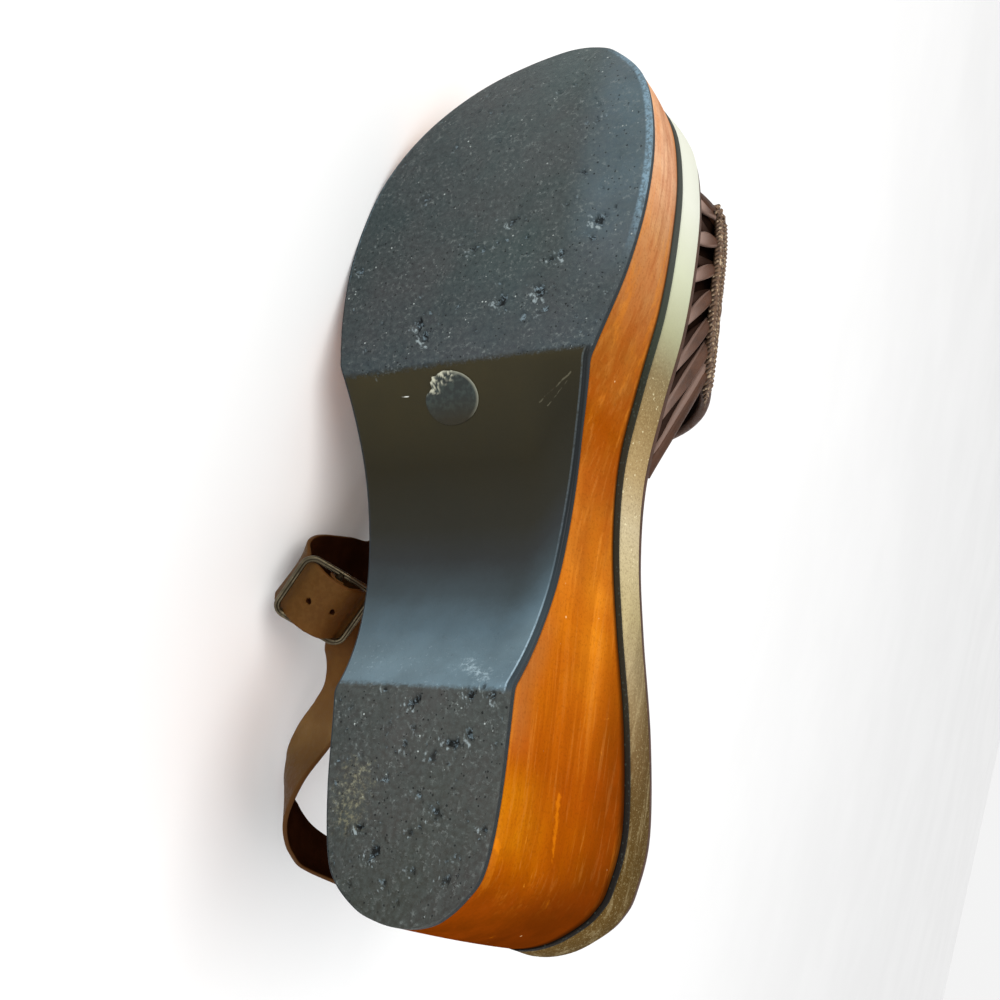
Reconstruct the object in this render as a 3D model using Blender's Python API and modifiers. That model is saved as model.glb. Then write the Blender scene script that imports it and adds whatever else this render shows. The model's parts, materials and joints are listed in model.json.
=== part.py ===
"""A right platform clog sandal, laid down on its outer side.

Every piece is modelled in the shoe's own frame, in millimetres: X runs to the outer side of the
foot, Y from heel to toe, and Z from the tread up to the foot. The heel's back edge is near Y = 0
and the treads lie on Z = 0. One empty then lays the whole shoe on its outer side.
"""

from math import cos, pi, radians, sin

import bmesh
import bpy
import numpy as np
from mathutils import Matrix, Vector

MM = 0.001
GAP = 0.3                     # clearance between neighbouring curved pieces

# ---- the sole, outline and heights ---------------------------------------------------------
# One row for each station along the foot. inner and outer are the tread's half widths from
# X = 0, flare_in and flare_out say how much wider the foot bed is there, and top is the height
# of the foot bed's layer.
SOLE_COLUMNS = ("y", "inner", "outer", "flare_in", "flare_out", "top")
SOLE_ROWS = (
    (5.0, 15.5, 12.0, 4.5, 4.5, 74.0),
    (15.0, 21.0, 20.0, 3.8, 3.2, 77.5),
    (30.0, 22.7, 23.2, 4.1, 3.4, 79.0),
    (55.0, 22.8, 26.4, 5.2, 3.2, 71.5),
    (80.0, 22.8, 32.5, 5.9, 3.1, 59.5),
    (100.0, 24.0, 36.8, 5.3, 3.1, 51.8),
    (120.0, 27.9, 39.9, 3.4, 3.0, 46.8),
    (140.0, 34.6, 42.8, 2.1, 2.9, 42.4),
    (160.0, 41.2, 45.8, 1.5, 2.9, 38.6),
    (180.0, 44.9, 45.6, 0.8, 2.8, 36.2),
    (200.0, 45.0, 40.4, 0.6, 2.8, 36.8),
    (220.0, 39.8, 29.5, 1.8, 3.2, 39.0),
    (235.0, 29.3, 15.6, 3.6, 3.9, 40.8),
)
HEEL_TIP = (1.0, 0.0)         # X, Y of the tread's back and front ends
TOE_TIP = (-12.0, 244.5)
TIP_FLARE = 2.3               # the foot bed reaches this far past both ends
TOP_AT_ENDS = (71.0, 41.5)

HEEL_BREAST = 53.5            # where the arch leaves the heel tread, at X = 0
BALL_LINE = 138.7             # where it meets the forefoot tread, at X = 0
HEEL_BREAST_SKEW = -0.045     # Y gained along each line for each mm of X
BALL_LINE_SKEW = 0.089
ARCH_RISE = 16.9
TOE_SPRING_START = 195.0
TOE_SPRING = 11.5

OUTSOLE = 3.0                 # thicknesses, from the floor up
BLACK_LAYER = 3.5
TAN_LAYER = 11.0
INSOLE = 2.2
WOOD_INSET = 1.6              # how far each layer's edge stands inside the foot bed's outline
BLACK_INSET = 1.3
INSOLE_INSET = 0.6
ROW_COUNT = 34

# ---- the woven vamp ------------------------------------------------------------------------
VAMP_WALL = 1.8
VAMP_INSET = 2.6              # its foot stands this far inside the foot bed's edge
VAMP_FRONT = (208.0, 190.0)   # Y of its front edge at the inner and outer side
VAMP_REAR = (122.0, 112.0)    # Y of its back edge there, down at the insole
VAMP_LEAN = 34.0              # the back edge leans forward by this much up to the braid
VAMP_MOUTH = 14.0             # how far the toe opening is scooped back over the toes
SIDE_HEIGHT = 15.0            # height of the open strips, below the braid
SIDE_LEAN = 4.6               # how far they lean outward
STRIPS = 7
SLOT_SHARE = 0.38             # the open share of each strip's pitch
VAMP_COLUMNS = ("y", "height")
VAMP_ROWS = (
    (110.0, 70.0),
    (125.0, 62.0),
    (140.0, 54.0),
    (155.0, 46.0),
    (170.0, 38.5),
    (185.0, 32.0),
    (200.0, 27.0),
    (210.0, 25.0),
)

# ---- the ankle strap and its buckle --------------------------------------------------------
STRAP_WIDTH = 17.4
STRAP = 1.8
BUCKLE_LENGTH = 21.3          # centre lines of the wire, along and across the strap
BUCKLE_WIDTH = 20.2
WIRE = 1.05                   # radius of the buckle's wire
BAR = 0.9                     # radius of its centre bar
BUCKLE_CENTRE = Vector((52.7, 81.2, 22.3))
BUCKLE_ALONG = Vector((-0.56, -0.31, 0.77)).normalized()
BUCKLE_ACROSS = Vector((-0.645, 0.745, -0.18))

# ---- how it lies ---------------------------------------------------------------------------
LIE_ROLL = radians(84.0)      # turned over onto its outer side
LIE_PITCH = radians(-12.9)    # toe down: the bent tail strap lifts the heel

OUTER, INNER = 1.0, -1.0


# ---- small helpers -------------------------------------------------------------------------
def spline(points, steps, closed=False):
    """A Catmull-Rom curve through points, with steps spans between neighbours."""
    points = np.asarray(points, float)
    count = len(points)
    spans = count if closed else count - 1
    curve = []
    for i in range(spans):
        if closed:
            a, b, c, d = (points[(i + k) % count] for k in (-1, 0, 1, 2))
        else:
            a, b, c, d = (points[min(max(i + k, 0), count - 1)] for k in (-1, 0, 1, 2))
        for k in range(steps):
            t = k / steps
            curve.append(0.5 * (2 * b + (c - a) * t + (2 * a - 5 * b + 4 * c - d) * t * t
                                + (3 * b - a - 3 * c + d) * t ** 3))
    if not closed:
        curve.append(points[-1])
    return np.array(curve)


def column(rows, columns, name):
    return np.array([row[columns.index(name)] for row in rows])


def smooth_table(rows, columns, name, before=(), after=()):
    """One column of a table as a dense curve over Y."""
    pairs = list(before) + list(zip(column(rows, columns, "y"), column(rows, columns, name)))
    return spline(pairs + list(after), 8)


def look_up(curve, y):
    return float(np.interp(y, curve[:, 0], curve[:, 1]))


def add_object(name, mesh, material):
    mesh.name = name
    piece = bpy.data.objects.new(name, mesh)
    piece.data.materials.append(material)
    PARTS.objects.link(piece)
    piece.parent = LAID_DOWN
    return piece


def shade(piece, angle=35.0):
    piece.data.shade_smooth()
    piece.data.set_sharp_from_angle(angle=radians(angle))


def loft(name, rings, material):
    """A closed solid through rings of points given in millimetres, with flat fans for ends."""
    bm = bmesh.new()
    loops = [[bm.verts.new(Vector(point) * MM) for point in ring] for ring in rings]
    for ring, following in zip(loops, loops[1:]):
        for i, vertex in enumerate(ring):
            j = (i + 1) % len(ring)
            bm.faces.new((vertex, ring[j], following[j], following[i]))
    bm.faces.new(loops[0])
    bm.faces.new(loops[-1])
    bmesh.ops.triangulate(bm, faces=[face for face in bm.faces if len(face.verts) > 4])
    bmesh.ops.recalc_face_normals(bm, faces=bm.faces)
    mesh = bpy.data.meshes.new(name)
    bm.to_mesh(mesh)
    bm.free()
    piece = add_object(name, mesh, material)
    shade(piece)
    return piece


def finish(name, color, roughness, metallic=0.0):
    material = bpy.data.materials.new(name)
    material.use_nodes = True
    shader = material.node_tree.nodes["Principled BSDF"]
    shader.inputs["Base Color"].default_value = (*color, 1.0)
    shader.inputs["Roughness"].default_value = roughness
    shader.inputs["Metallic"].default_value = metallic
    return material


# ---- the sole's own functions --------------------------------------------------------------
def outline(flare):
    """The closed outline of the tread (flare 0) or of the foot bed (flare 1), seen from above."""
    sides = {}
    for side, width, more in ((OUTER, "outer", "flare_out"), (INNER, "inner", "flare_in")):
        x = column(SOLE_ROWS, SOLE_COLUMNS, width) + flare * column(SOLE_ROWS, SOLE_COLUMNS, more)
        y = column(SOLE_ROWS, SOLE_COLUMNS, "y")
        sides[side] = list(zip(side * x, y))
    back = (HEEL_TIP[0], HEEL_TIP[1] - flare * TIP_FLARE)
    front = (TOE_TIP[0], TOE_TIP[1] + flare * TIP_FLARE)
    return spline([back] + sides[OUTER] + [front] + sides[INNER][::-1], 12, closed=True)


def half_outlines(loop):
    """The outline's outer and inner halves as curves of X over Y."""
    tip = int(np.argmax(loop[:, 1]))
    heel = int(np.argmin(loop[:, 1]))
    loop = np.roll(loop, -heel, axis=0)
    tip = (tip - heel) % len(loop)
    outer = loop[:tip + 1]
    inner = np.vstack([loop[tip:], loop[:1]])[::-1]
    return {OUTER: outer, INNER: inner}


TREAD = half_outlines(outline(0.0))
BED = half_outlines(outline(1.0))
TOP = smooth_table(SOLE_ROWS, SOLE_COLUMNS, "top",
                   before=[(-TIP_FLARE, TOP_AT_ENDS[0])],
                   after=[(TOE_TIP[1] + TIP_FLARE, TOP_AT_ENDS[1])])


def edge_x(halves, side, y):
    half = halves[side]
    return float(np.interp(y, half[:, 1], half[:, 0]))


def tread_z(y):
    """Height of the tread's underside: flat heel, arch, flat forefoot and toe spring."""
    w = min(max((y - HEEL_BREAST) / (BALL_LINE - HEEL_BREAST), 0.0), 1.0)
    spring = max(y - TOE_SPRING_START, 0.0) / (TOE_TIP[1] - TOE_SPRING_START)
    return ARCH_RISE * 4 * w * (1 - w) + TOE_SPRING * spring ** 2


def skew(y):
    """How far a row across the sole leans, so that rows follow both crease lines."""
    stations = (HEEL_TIP[1], HEEL_BREAST, BALL_LINE, TOE_TIP[1])
    return float(np.interp(y, stations, (0.0, HEEL_BREAST_SKEW, BALL_LINE_SKEW, 0.0)))


def sole_rows():
    """Stations from heel to toe as shares of the length, close together at both ends."""
    length = TOE_TIP[1] - HEEL_TIP[1]
    shares = [0.5 - 0.5 * cos(pi * k / ROW_COUNT) for k in range(ROW_COUNT + 1)]
    shares[0], shares[-1] = 0.0012, 0.9988
    creases = [(y - HEEL_TIP[1]) / length for y in (HEEL_BREAST, BALL_LINE)]
    kept = [s for s in shares if min(abs(s - crease) for crease in creases) > 0.012]
    return sorted(kept + creases)


def corner(halves, side, share, inset=0.0):
    """X and Y where the row at this share of the length meets an outline, drawn in by inset."""
    low, high = halves[side][0, 1] + inset, halves[side][-1, 1] - inset
    start = low + (high - low) * share
    row = HEEL_TIP[1] + (TOE_TIP[1] - HEEL_TIP[1]) * share
    y = start
    for _ in range(4):
        grown = halves[side][0, 1] + (halves[side][-1, 1] - halves[side][0, 1]) * (
            (y - low) / (high - low))
        x = edge_x(halves, side, grown) - side * inset
        if side * (x - edge_x(halves, -side, grown) - side * inset) < 0:
            x = 0.5 * (edge_x(halves, OUTER, grown) + edge_x(halves, INNER, grown))
        y = min(max(start + skew(row) * x, low), high)
    return x, y


def wall_point(share, side, rise):
    """A point on the wood's side wall, rise above the tread's underside."""
    row = HEEL_TIP[1] + (TOE_TIP[1] - HEEL_TIP[1]) * share
    foot = Vector((*corner(TREAD, side, share), tread_z(row)))
    head = bed_point(share, side, -TAN_LAYER - BLACK_LAYER, WOOD_INSET)
    return foot.lerp(head, rise / (head.z - foot.z))


def bed_point(share, side, rise, inset):
    """A point at the foot bed's edge, rise above its top and drawn in by inset."""
    x, y = corner(BED, side, share, inset)
    return Vector((x, y, look_up(TOP, y) + rise))


def layer_rings(foot, head, wall_steps=1):
    """Rings across a sole layer between two edge functions of (share, side)."""
    rings = []
    for share in sole_rows():
        outer = [foot(share, OUTER).lerp(head(share, OUTER), k / wall_steps)
                 for k in range(wall_steps + 1)]
        inner = [head(share, INNER).lerp(foot(share, INNER), k / wall_steps)
                 for k in range(wall_steps + 1)]
        rings.append(outer + inner)
    return rings


# ---- sole pieces ---------------------------------------------------------------------------
def build_outsole():
    rings = layer_rings(lambda share, side: wall_point(share, side, 0.0),
                        lambda share, side: wall_point(share, side, OUTSOLE - GAP))
    return loft("outsole", rings, finish("black rubber", (0.065, 0.080, 0.090), 0.55))


def build_wood():
    rings = layer_rings(lambda share, side: wall_point(share, side, OUTSOLE),
                        lambda share, side: bed_point(share, side,
                                                      -TAN_LAYER - BLACK_LAYER, WOOD_INSET), 3)
    return loft("wood_platform", rings, finish("stained wood", (0.48, 0.16, 0.03), 0.35))


def build_black_layer():
    rings = layer_rings(lambda share, side: bed_point(share, side,
                                                      GAP - TAN_LAYER - BLACK_LAYER, BLACK_INSET),
                        lambda share, side: bed_point(share, side, -TAN_LAYER, BLACK_INSET))
    return loft("black_layer", rings, finish("black foam", (0.02, 0.025, 0.022), 0.7))


def build_tan_layer():
    rings = layer_rings(lambda share, side: bed_point(share, side, GAP - TAN_LAYER, BLACK_INSET),
                        lambda share, side: bed_point(share, side, 0.0, 0.0))
    return loft("tan_midsole", rings, finish("tan suede", (0.56, 0.44, 0.26), 0.85))


def build_insole():
    rings = layer_rings(lambda share, side: bed_point(share, side, GAP, INSOLE_INSET),
                        lambda share, side: bed_point(share, side, GAP + INSOLE, INSOLE_INSET))
    return loft("insole", rings, finish("brown leather", (0.11, 0.05, 0.028), 0.5))


# ---- the vamp ------------------------------------------------------------------------------
VAMP_HEIGHT = smooth_table(VAMP_ROWS, VAMP_COLUMNS, "height")
SIDE_SHARE = 0.15             # share of the way across, from inner to outer foot, up each side


def vamp_y(across, along):
    """Y on the vamp: across runs from its inner foot to its outer foot, along from the front."""
    front = VAMP_FRONT[0] + (VAMP_FRONT[1] - VAMP_FRONT[0]) * across
    front -= VAMP_MOUTH * sin(pi * across) ** 1.5
    climb = min(min(across, 1 - across) / SIDE_SHARE, 1.0)
    rear = VAMP_REAR[0] + (VAMP_REAR[1] - VAMP_REAR[0]) * across + VAMP_LEAN * climb
    return front + (rear - front) * along


def vamp_point(across, along):
    """The middle of the vamp's wall: two leaning sides and a low dome between them."""
    y = vamp_y(across, along)
    outer = edge_x(BED, OUTER, y) - VAMP_INSET
    inner = edge_x(BED, INNER, y) + VAMP_INSET
    middle, half = 0.5 * (outer + inner), 0.5 * (outer - inner)
    base = look_up(TOP, y) + GAP + INSOLE + GAP + VAMP_WALL / 4
    height = look_up(VAMP_HEIGHT, y)
    side = INNER if across < 0.5 else OUTER
    climb = min(across, 1 - across) / SIDE_SHARE
    if climb <= 1.0:
        x = middle + side * (half + SIDE_LEAN * sin(climb * pi / 2))
        return Vector((x, y, base + SIDE_HEIGHT * climb))
    turn = pi * (1 - (across - SIDE_SHARE) / (1 - 2 * SIDE_SHARE))
    reach = (half + SIDE_LEAN) * abs(cos(turn)) ** 0.8
    x = middle + (reach if cos(turn) > 0 else -reach)
    return Vector((x, y, base + SIDE_HEIGHT + (height - SIDE_HEIGHT) * sin(turn) ** 0.9))


def strip_stations():
    """Cell edges along the vamp, and whether each cell is a slot between two strips."""
    pitch = 1.0 / (STRIPS - SLOT_SHARE)
    edges, is_slot = [0.0], []
    for strip in range(STRIPS):
        start = strip * pitch
        strip_end = start + pitch * (1 - SLOT_SHARE)
        edges += [0.5 * (start + strip_end), strip_end]
        is_slot += [False, False]
        if strip < STRIPS - 1:
            edges.append(start + pitch)
            is_slot.append(True)
    return edges, is_slot


def build_vamp():
    """The woven wall, with real slots between the side strips below the braid."""
    along, is_slot = strip_stations()
    rim = 0.02
    side_cells = [0.0, rim, 0.06, 0.105, SIDE_SHARE]
    dome_cells = [SIDE_SHARE + (1 - 2 * SIDE_SHARE) * k / 16 for k in range(1, 16)]
    across = side_cells + dome_cells + [1 - a for a in side_cells[::-1]]
    bm = bmesh.new()
    grid = [[bm.verts.new(vamp_point(a, s) * MM) for s in along] for a in across]
    for i, (low, high) in enumerate(zip(across, across[1:])):
        open_row = rim <= min(low, 1 - high) and max(min(high, 1 - high), min(low, 1 - low)) \
            <= SIDE_SHARE + 1e-9
        for j, slot in enumerate(is_slot):
            if slot and open_row:
                continue
            bm.faces.new((grid[i][j], grid[i][j + 1], grid[i + 1][j + 1], grid[i + 1][j]))
    bmesh.ops.recalc_face_normals(bm, faces=bm.faces)
    mesh = bpy.data.meshes.new("woven_vamp")
    bm.to_mesh(mesh)
    bm.free()
    vamp = add_object("woven_vamp", mesh, finish("woven leather", (0.16, 0.08, 0.045), 0.5))
    wall = vamp.modifiers.new("Wall", "SOLIDIFY")
    wall.thickness = VAMP_WALL * MM
    wall.offset = 0.0
    shade(vamp)
    return vamp


# ---- strap and buckle ----------------------------------------------------------------------
def buckle_point(along, across, up):
    """A point in the buckle's own frame: along and across the strap, up towards its face."""
    return BUCKLE_CENTRE + BUCKLE_ALONG * along + ACROSS * across + FACE * up


FACE = BUCKLE_ALONG.cross(BUCKLE_ACROSS).normalized()
ACROSS = FACE.cross(BUCKLE_ALONG)


def ribbon(name, rows, material, steps=4):
    """A flat strap through rows of (centre, direction across), with its real thickness."""
    centres = spline([row[0] for row in rows], steps)
    widths = spline([row[1] for row in rows], steps)
    travel = np.gradient(centres, axis=0)
    rings = []
    for centre, width, direction in zip(centres, widths, travel):
        direction = Vector(direction).normalized()
        width = Vector(width)
        width = (width - direction * width.dot(direction)).normalized() * STRAP_WIDTH / 2
        up = direction.cross(width).normalized() * STRAP / 2
        centre = Vector(centre)
        rings.append((centre - width - up, centre + width - up,
                      centre + width + up, centre - width + up))
    return loft(name, rings, material)


def route_rows(route):
    return [(Vector((x, y, z)), Vector(across)) for x, y, z, across in route]


def buckle_rows(profile):
    """Rows of a strap through the buckle: along, across and up, from its centre bar."""
    return [(buckle_point(*place), ACROSS) for place in profile]


HALF = BUCKLE_LENGTH / 2
HEEL_STRAP_FOLD = (               # round the centre bar and out under the end bar
    (1.4, 0.0, 2.2),
    (0.0, 0.0, 2.25),
    (-1.6, 0.0, 1.6),
    (-2.25, 0.0, 0.0),
    (-1.6, 0.0, -1.6),
    (0.0, 0.0, -2.3),
    (4.5, -0.3, -3.7),
    (HALF - 1.5, -1.0, -5.2),
)
# Centre and direction across, from the buckle down the outer side, round the bend, past the
# heel and forward over the foot bed to the throat.
HEEL_STRAP_ROUTE = (
    (51.8, 77.2, 38.6, (-0.59, 0.80, -0.13)),
    (54.6, 70.1, 42.1, (-0.64, 0.76, -0.11)),
    (57.3, 61.6, 43.7, (-0.83, 0.52, -0.19)),
    (60.7, 54.4, 44.0, (-0.97, 0.12, -0.20)),
    (65.7, 46.4, 43.8, (-0.92, -0.29, -0.25)),
    (69.5, 37.3, 43.4, (-0.69, -0.58, -0.43)),
    (73.3, 28.2, 46.7, (-0.49, -0.76, -0.42)),
    (75.1, 21.9, 53.8, (-0.35, -0.92, -0.16)),
    (75.2, 16.6, 64.1, (-0.45, -0.72, -0.53)),
    (64.9, 11.0, 76.4, (-0.46, -0.57, -0.68)),
    (50.0, 3.0, 88.0, (-0.25, -0.45, -0.86)),
    (33.0, 0.0, 96.0, (-0.10, -0.20, -0.97)),
    (14.0, 4.0, 100.0, (0.00, 0.00, -1.00)),
    (0.0, 20.0, 100.0, (0.00, 0.00, -1.00)),
    (-4.0, 50.0, 94.0, (0.00, 0.00, -1.00)),
    (-5.0, 85.0, 89.0, (-0.40, 0.00, -0.90)),
    (-5.5, 110.0, 88.0, (-0.80, 0.00, -0.60)),
    (-2.0, 127.0, 89.2, (-0.98, 0.00, -0.20)),
    (3.0, 142.0, 89.4, (-1.00, 0.00, 0.00)),
    (4.0, 152.0, 86.9, (-1.00, 0.00, 0.00)),
    (4.0, 161.0, 81.0, (-1.00, 0.00, 0.00)),
)
TAIL_STRAP_ROUTE = (              # from the vamp's outer back corner round to the buckle
    (52.5, 157.0, 60.0, (0.00, 0.00, -1.00)),
    (52.3, 147.0, 60.5, (0.00, 0.00, -1.00)),
    (52.0, 132.0, 61.5, (0.00, 0.05, -1.00)),
    (54.5, 115.0, 60.5, (-0.05, 0.20, -0.98)),
    (62.2, 101.9, 53.8, (-0.10, 0.60, -0.79)),
    (62.7, 97.8, 39.0, (-0.27, 0.68, -0.68)),
    (63.4, 94.1, 26.5, (-0.26, 0.86, -0.44)),
    (63.7, 91.8, 19.0, (-0.33, 0.94, 0.09)),
)
TAIL_STRAP_PANEL = (              # under an end bar, over the centre bar, under the other end
    (-HALF - 0.6, 0.3, -3.4),
    (-HALF + 1.8, 0.0, -2.6),
    (-HALF + 4.8, 0.0, 1.6),
    (-2.5, 0.0, 4.7),
    (3.0, 0.0, 4.9),
    (HALF - 4.4, 0.0, 1.2),
    (HALF - 1.8, 0.0, -2.3),
    (HALF + 1.4, 0.0, -2.8),
)


def build_heel_strap():
    rows = buckle_rows(HEEL_STRAP_FOLD) + route_rows(HEEL_STRAP_ROUTE)
    return ribbon("heel_strap", rows, finish("strap leather", (0.20, 0.10, 0.05), 0.45))


def build_tail_strap():
    rows = route_rows(TAIL_STRAP_ROUTE) + buckle_rows(TAIL_STRAP_PANEL)
    return ribbon("tail_strap", rows, finish("tail leather", (0.20, 0.10, 0.05), 0.45))


def wire_ring():
    """The buckle's frame as a closed wire with round corners."""
    half_long, half_wide, bend = BUCKLE_LENGTH / 2, BUCKLE_WIDTH / 2, 3.2
    points = []
    for quarter, (sx, sy) in enumerate(((1, 1), (-1, 1), (-1, -1), (1, -1))):
        for step in range(4):
            angle = pi / 2 * (quarter + step / 3)
            points.append((sx * (half_long - bend) + bend * cos(angle),
                           sy * (half_wide - bend) + bend * sin(angle)))
    curve = bpy.data.curves.new("buckle_wire", "CURVE")
    curve.dimensions = "3D"
    curve.bevel_depth = WIRE * MM
    curve.bevel_resolution = 2
    line = curve.splines.new("POLY")
    line.points.add(len(points) - 1)
    for point, (along, across) in zip(line.points, points):
        point.co = (*(buckle_point(along, across, 0.0) * MM), 1.0)
    line.use_cyclic_u = True
    return bpy.data.objects.new("buckle_wire", curve)


def build_buckle():
    """A wire frame and the bar that the strap folds round, joined into one piece."""
    wire = wire_ring()
    PARTS.objects.link(wire)
    bpy.context.view_layer.update()
    evaluated = wire.evaluated_get(bpy.context.evaluated_depsgraph_get())
    mesh = bpy.data.meshes.new_from_object(evaluated)
    bpy.data.objects.remove(wire)
    buckle = add_object("buckle_frame", mesh, finish("aged brass", (0.32, 0.27, 0.17), 0.35, 1.0))
    bpy.ops.mesh.primitive_cylinder_add(vertices=10, radius=BAR * MM, depth=BUCKLE_WIDTH * MM)
    bar = bpy.context.object
    bar.name = "buckle_bar_cutter"
    bar.data.transform(Matrix((BUCKLE_ALONG, FACE, ACROSS)).transposed().to_4x4())
    bar.data.transform(Matrix.Translation(BUCKLE_CENTRE * MM))
    for collection in list(bar.users_collection):
        collection.objects.unlink(bar)
    TOOLS.objects.link(bar)
    bar.parent = LAID_DOWN
    bar.hide_render = True
    bar.display_type = "WIRE"
    union = buckle.modifiers.new("Bar", "BOOLEAN")
    union.operation = "UNION"
    union.solver = "EXACT"
    union.object = bar
    shade(buckle)
    return buckle


# ---- the whole shoe ------------------------------------------------------------------------
def lay_down(pieces):
    """Turn the shoe onto its outer side and set the bottom centre of its box on the origin."""
    turn = Matrix.Rotation(LIE_PITCH, 4, "X") @ Matrix.Rotation(LIE_ROLL, 4, "Y")
    LAID_DOWN.matrix_world = turn
    bpy.context.view_layer.update()
    depsgraph = bpy.context.evaluated_depsgraph_get()
    points = []
    for piece in pieces:
        mesh = piece.evaluated_get(depsgraph).to_mesh()
        points += [turn @ vertex.co for vertex in mesh.vertices]
    low = Vector([min(point[i] for point in points) for i in range(3)])
    high = Vector([max(point[i] for point in points) for i in range(3)])
    shift = Vector((-(low.x + high.x) / 2, -(low.y + high.y) / 2, -low.z))
    LAID_DOWN.matrix_world = Matrix.Translation(shift) @ turn
    bpy.context.view_layer.update()


for old in list(bpy.data.objects):
    bpy.data.objects.remove(old, do_unlink=True)
PARTS = bpy.data.collections.new("platform_clog")
TOOLS = bpy.data.collections.new("platform_clog_cutters")
bpy.context.scene.collection.children.link(PARTS)
bpy.context.scene.collection.children.link(TOOLS)
LAID_DOWN = bpy.data.objects.new("laid_down", None)
PARTS.objects.link(LAID_DOWN)
lay_down([build_outsole(), build_wood(), build_black_layer(), build_tan_layer(), build_insole(),
          build_vamp(), build_heel_strap(), build_tail_strap(), build_buckle()])
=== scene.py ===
"""A worn wooden platform clog sandal, laid down on its outer side, with its looks.

Shapes are worked out in the shoe's own frame, in millimetres: X runs to the outer side of the
foot, Y from heel to toe and Z from the tread up to the foot. SHOE turns that frame into the
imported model's, and it comes from the two mounts on the tread.
"""

import json
import random
from math import cos, pi, radians, sin

import bmesh
import bpy
import numpy as np
from bpy.props import FloatProperty, FloatVectorProperty, IntProperty, PointerProperty
from mathutils import Matrix, Vector, noise


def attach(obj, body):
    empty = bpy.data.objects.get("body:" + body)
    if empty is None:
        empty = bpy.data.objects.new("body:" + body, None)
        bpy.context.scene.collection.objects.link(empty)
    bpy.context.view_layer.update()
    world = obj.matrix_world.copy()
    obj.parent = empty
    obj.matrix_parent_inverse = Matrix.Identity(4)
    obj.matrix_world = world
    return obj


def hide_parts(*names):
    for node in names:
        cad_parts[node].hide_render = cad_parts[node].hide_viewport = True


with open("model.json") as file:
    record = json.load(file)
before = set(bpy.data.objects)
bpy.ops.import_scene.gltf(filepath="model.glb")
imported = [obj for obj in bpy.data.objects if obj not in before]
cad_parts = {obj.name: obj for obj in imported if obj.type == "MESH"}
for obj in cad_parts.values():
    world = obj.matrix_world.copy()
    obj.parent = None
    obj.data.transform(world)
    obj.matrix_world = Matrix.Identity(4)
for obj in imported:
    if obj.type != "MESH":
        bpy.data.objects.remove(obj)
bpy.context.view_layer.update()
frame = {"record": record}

bl_info = {
    "name": "Platform Clog Sandal",
    "version": (1, 0, 0),
    "blender": (4, 5, 0),
    "location": "3D View > Sidebar > Clog",
    "description": "Builds the detailed sole, woven upper, strap and buckle of a clog sandal",
    "category": "Add Mesh",
}

MM = 0.001
HEEL_MOUNT = 28.0             # Y of the mount on the heel's tread


def shoe_frame():
    """The shoe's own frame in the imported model, from the mounts on its tread."""
    mounts = {mount["name"]: mount for mount in frame["record"]["mounts"]}
    heel = Vector(mounts["heel_tread"]["pos_m"])
    ball = Vector(mounts["forefoot_tread"]["pos_m"])
    forward = (ball - heel).normalized()
    up = -Vector(mounts["heel_tread"]["axis"]).normalized()
    turn = Matrix((forward.cross(up), forward, up)).transposed()
    origin = heel - forward * HEEL_MOUNT * MM
    return Matrix.Translation(origin) @ turn.to_4x4() @ Matrix.Scale(MM, 4)


SHOE = shoe_frame()

# ---- the sole: its outline and heights ----
# Y, half widths of the tread from X = 0, how much wider the foot bed is, and its height
ROW_Y, INNER_HALF, OUTER_HALF, INNER_FLARE, OUTER_FLARE, ROW_TOP = np.array((
    (3.7, 12.0, 9.9, 6.8, 6.6, 73.4),
    (8.6, 17.3, 16.5, 5.4, 4.1, 75.3),
    (15.0, 21.0, 20.0, 3.8, 3.2, 77.5),
    (30.0, 22.7, 23.2, 4.1, 3.4, 79.0),
    (55.0, 22.8, 26.4, 5.2, 3.2, 71.5),
    (80.0, 22.8, 32.5, 5.9, 3.1, 59.5),
    (100.0, 24.0, 36.8, 5.3, 3.1, 51.8),
    (120.0, 27.9, 39.9, 3.4, 3.0, 46.8),
    (140.0, 34.6, 42.8, 2.1, 2.9, 42.4),
    (160.0, 41.2, 45.8, 1.5, 2.9, 38.6),
    (180.0, 44.9, 45.6, 0.8, 2.8, 36.2),
    (200.0, 45.0, 40.4, 0.6, 2.8, 36.8),
    (220.0, 39.8, 29.5, 1.8, 3.2, 39.0),
    (235.0, 29.3, 15.6, 3.6, 3.9, 40.8),
)).T
HEEL_TIP, TOE_TIP = (-1.4, 1.1), (-12.0, 244.5)
# points between each tip and the row beside it: on the tread and on the foot bed
HEEL_ROUND_OUT, HEEL_ROUND_IN = ((4.1, 1.8), (8.5, -1.6)), ((-6.8, 1.6), (-11.0, -1.5))
TOE_ROUND_OUT, TOE_ROUND_IN = ((1.5, 242.4), (3.2, 244.6)), ((-22.0, 241.2), (-23.6, 243.2))
HEEL_FLARE, TOE_FLARE = 4.8, 2.3
TOP_AT_ENDS = (71.0, 41.5)
HEEL_BREAST, BALL_LINE = 53.5, 138.7      # Y of the arch's two ends, at X = 0
HEEL_BREAST_SKEW, BALL_LINE_SKEW = -0.045, 0.089
ARCH_RISE = 16.9
OUTLINE_STEPS, HEIGHT_STEPS = 12, 8
CREASE = 1.1                              # how far the arch's two creases are rounded
TOE_SPRING_START, TOE_SPRING = 195.0, 11.5
OUTSOLE, BLACK_LAYER, TAN_LAYER, INSOLE, GAP = 3.0, 3.5, 11.0, 2.2, 0.3
ARCH_THINNER, THINNING = 0.8, 6.4         # how much thinner over the arch, and how soon
WOOD_INSET, BLACK_INSET, INSOLE_INSET = 1.6, 1.3, 0.6

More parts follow.
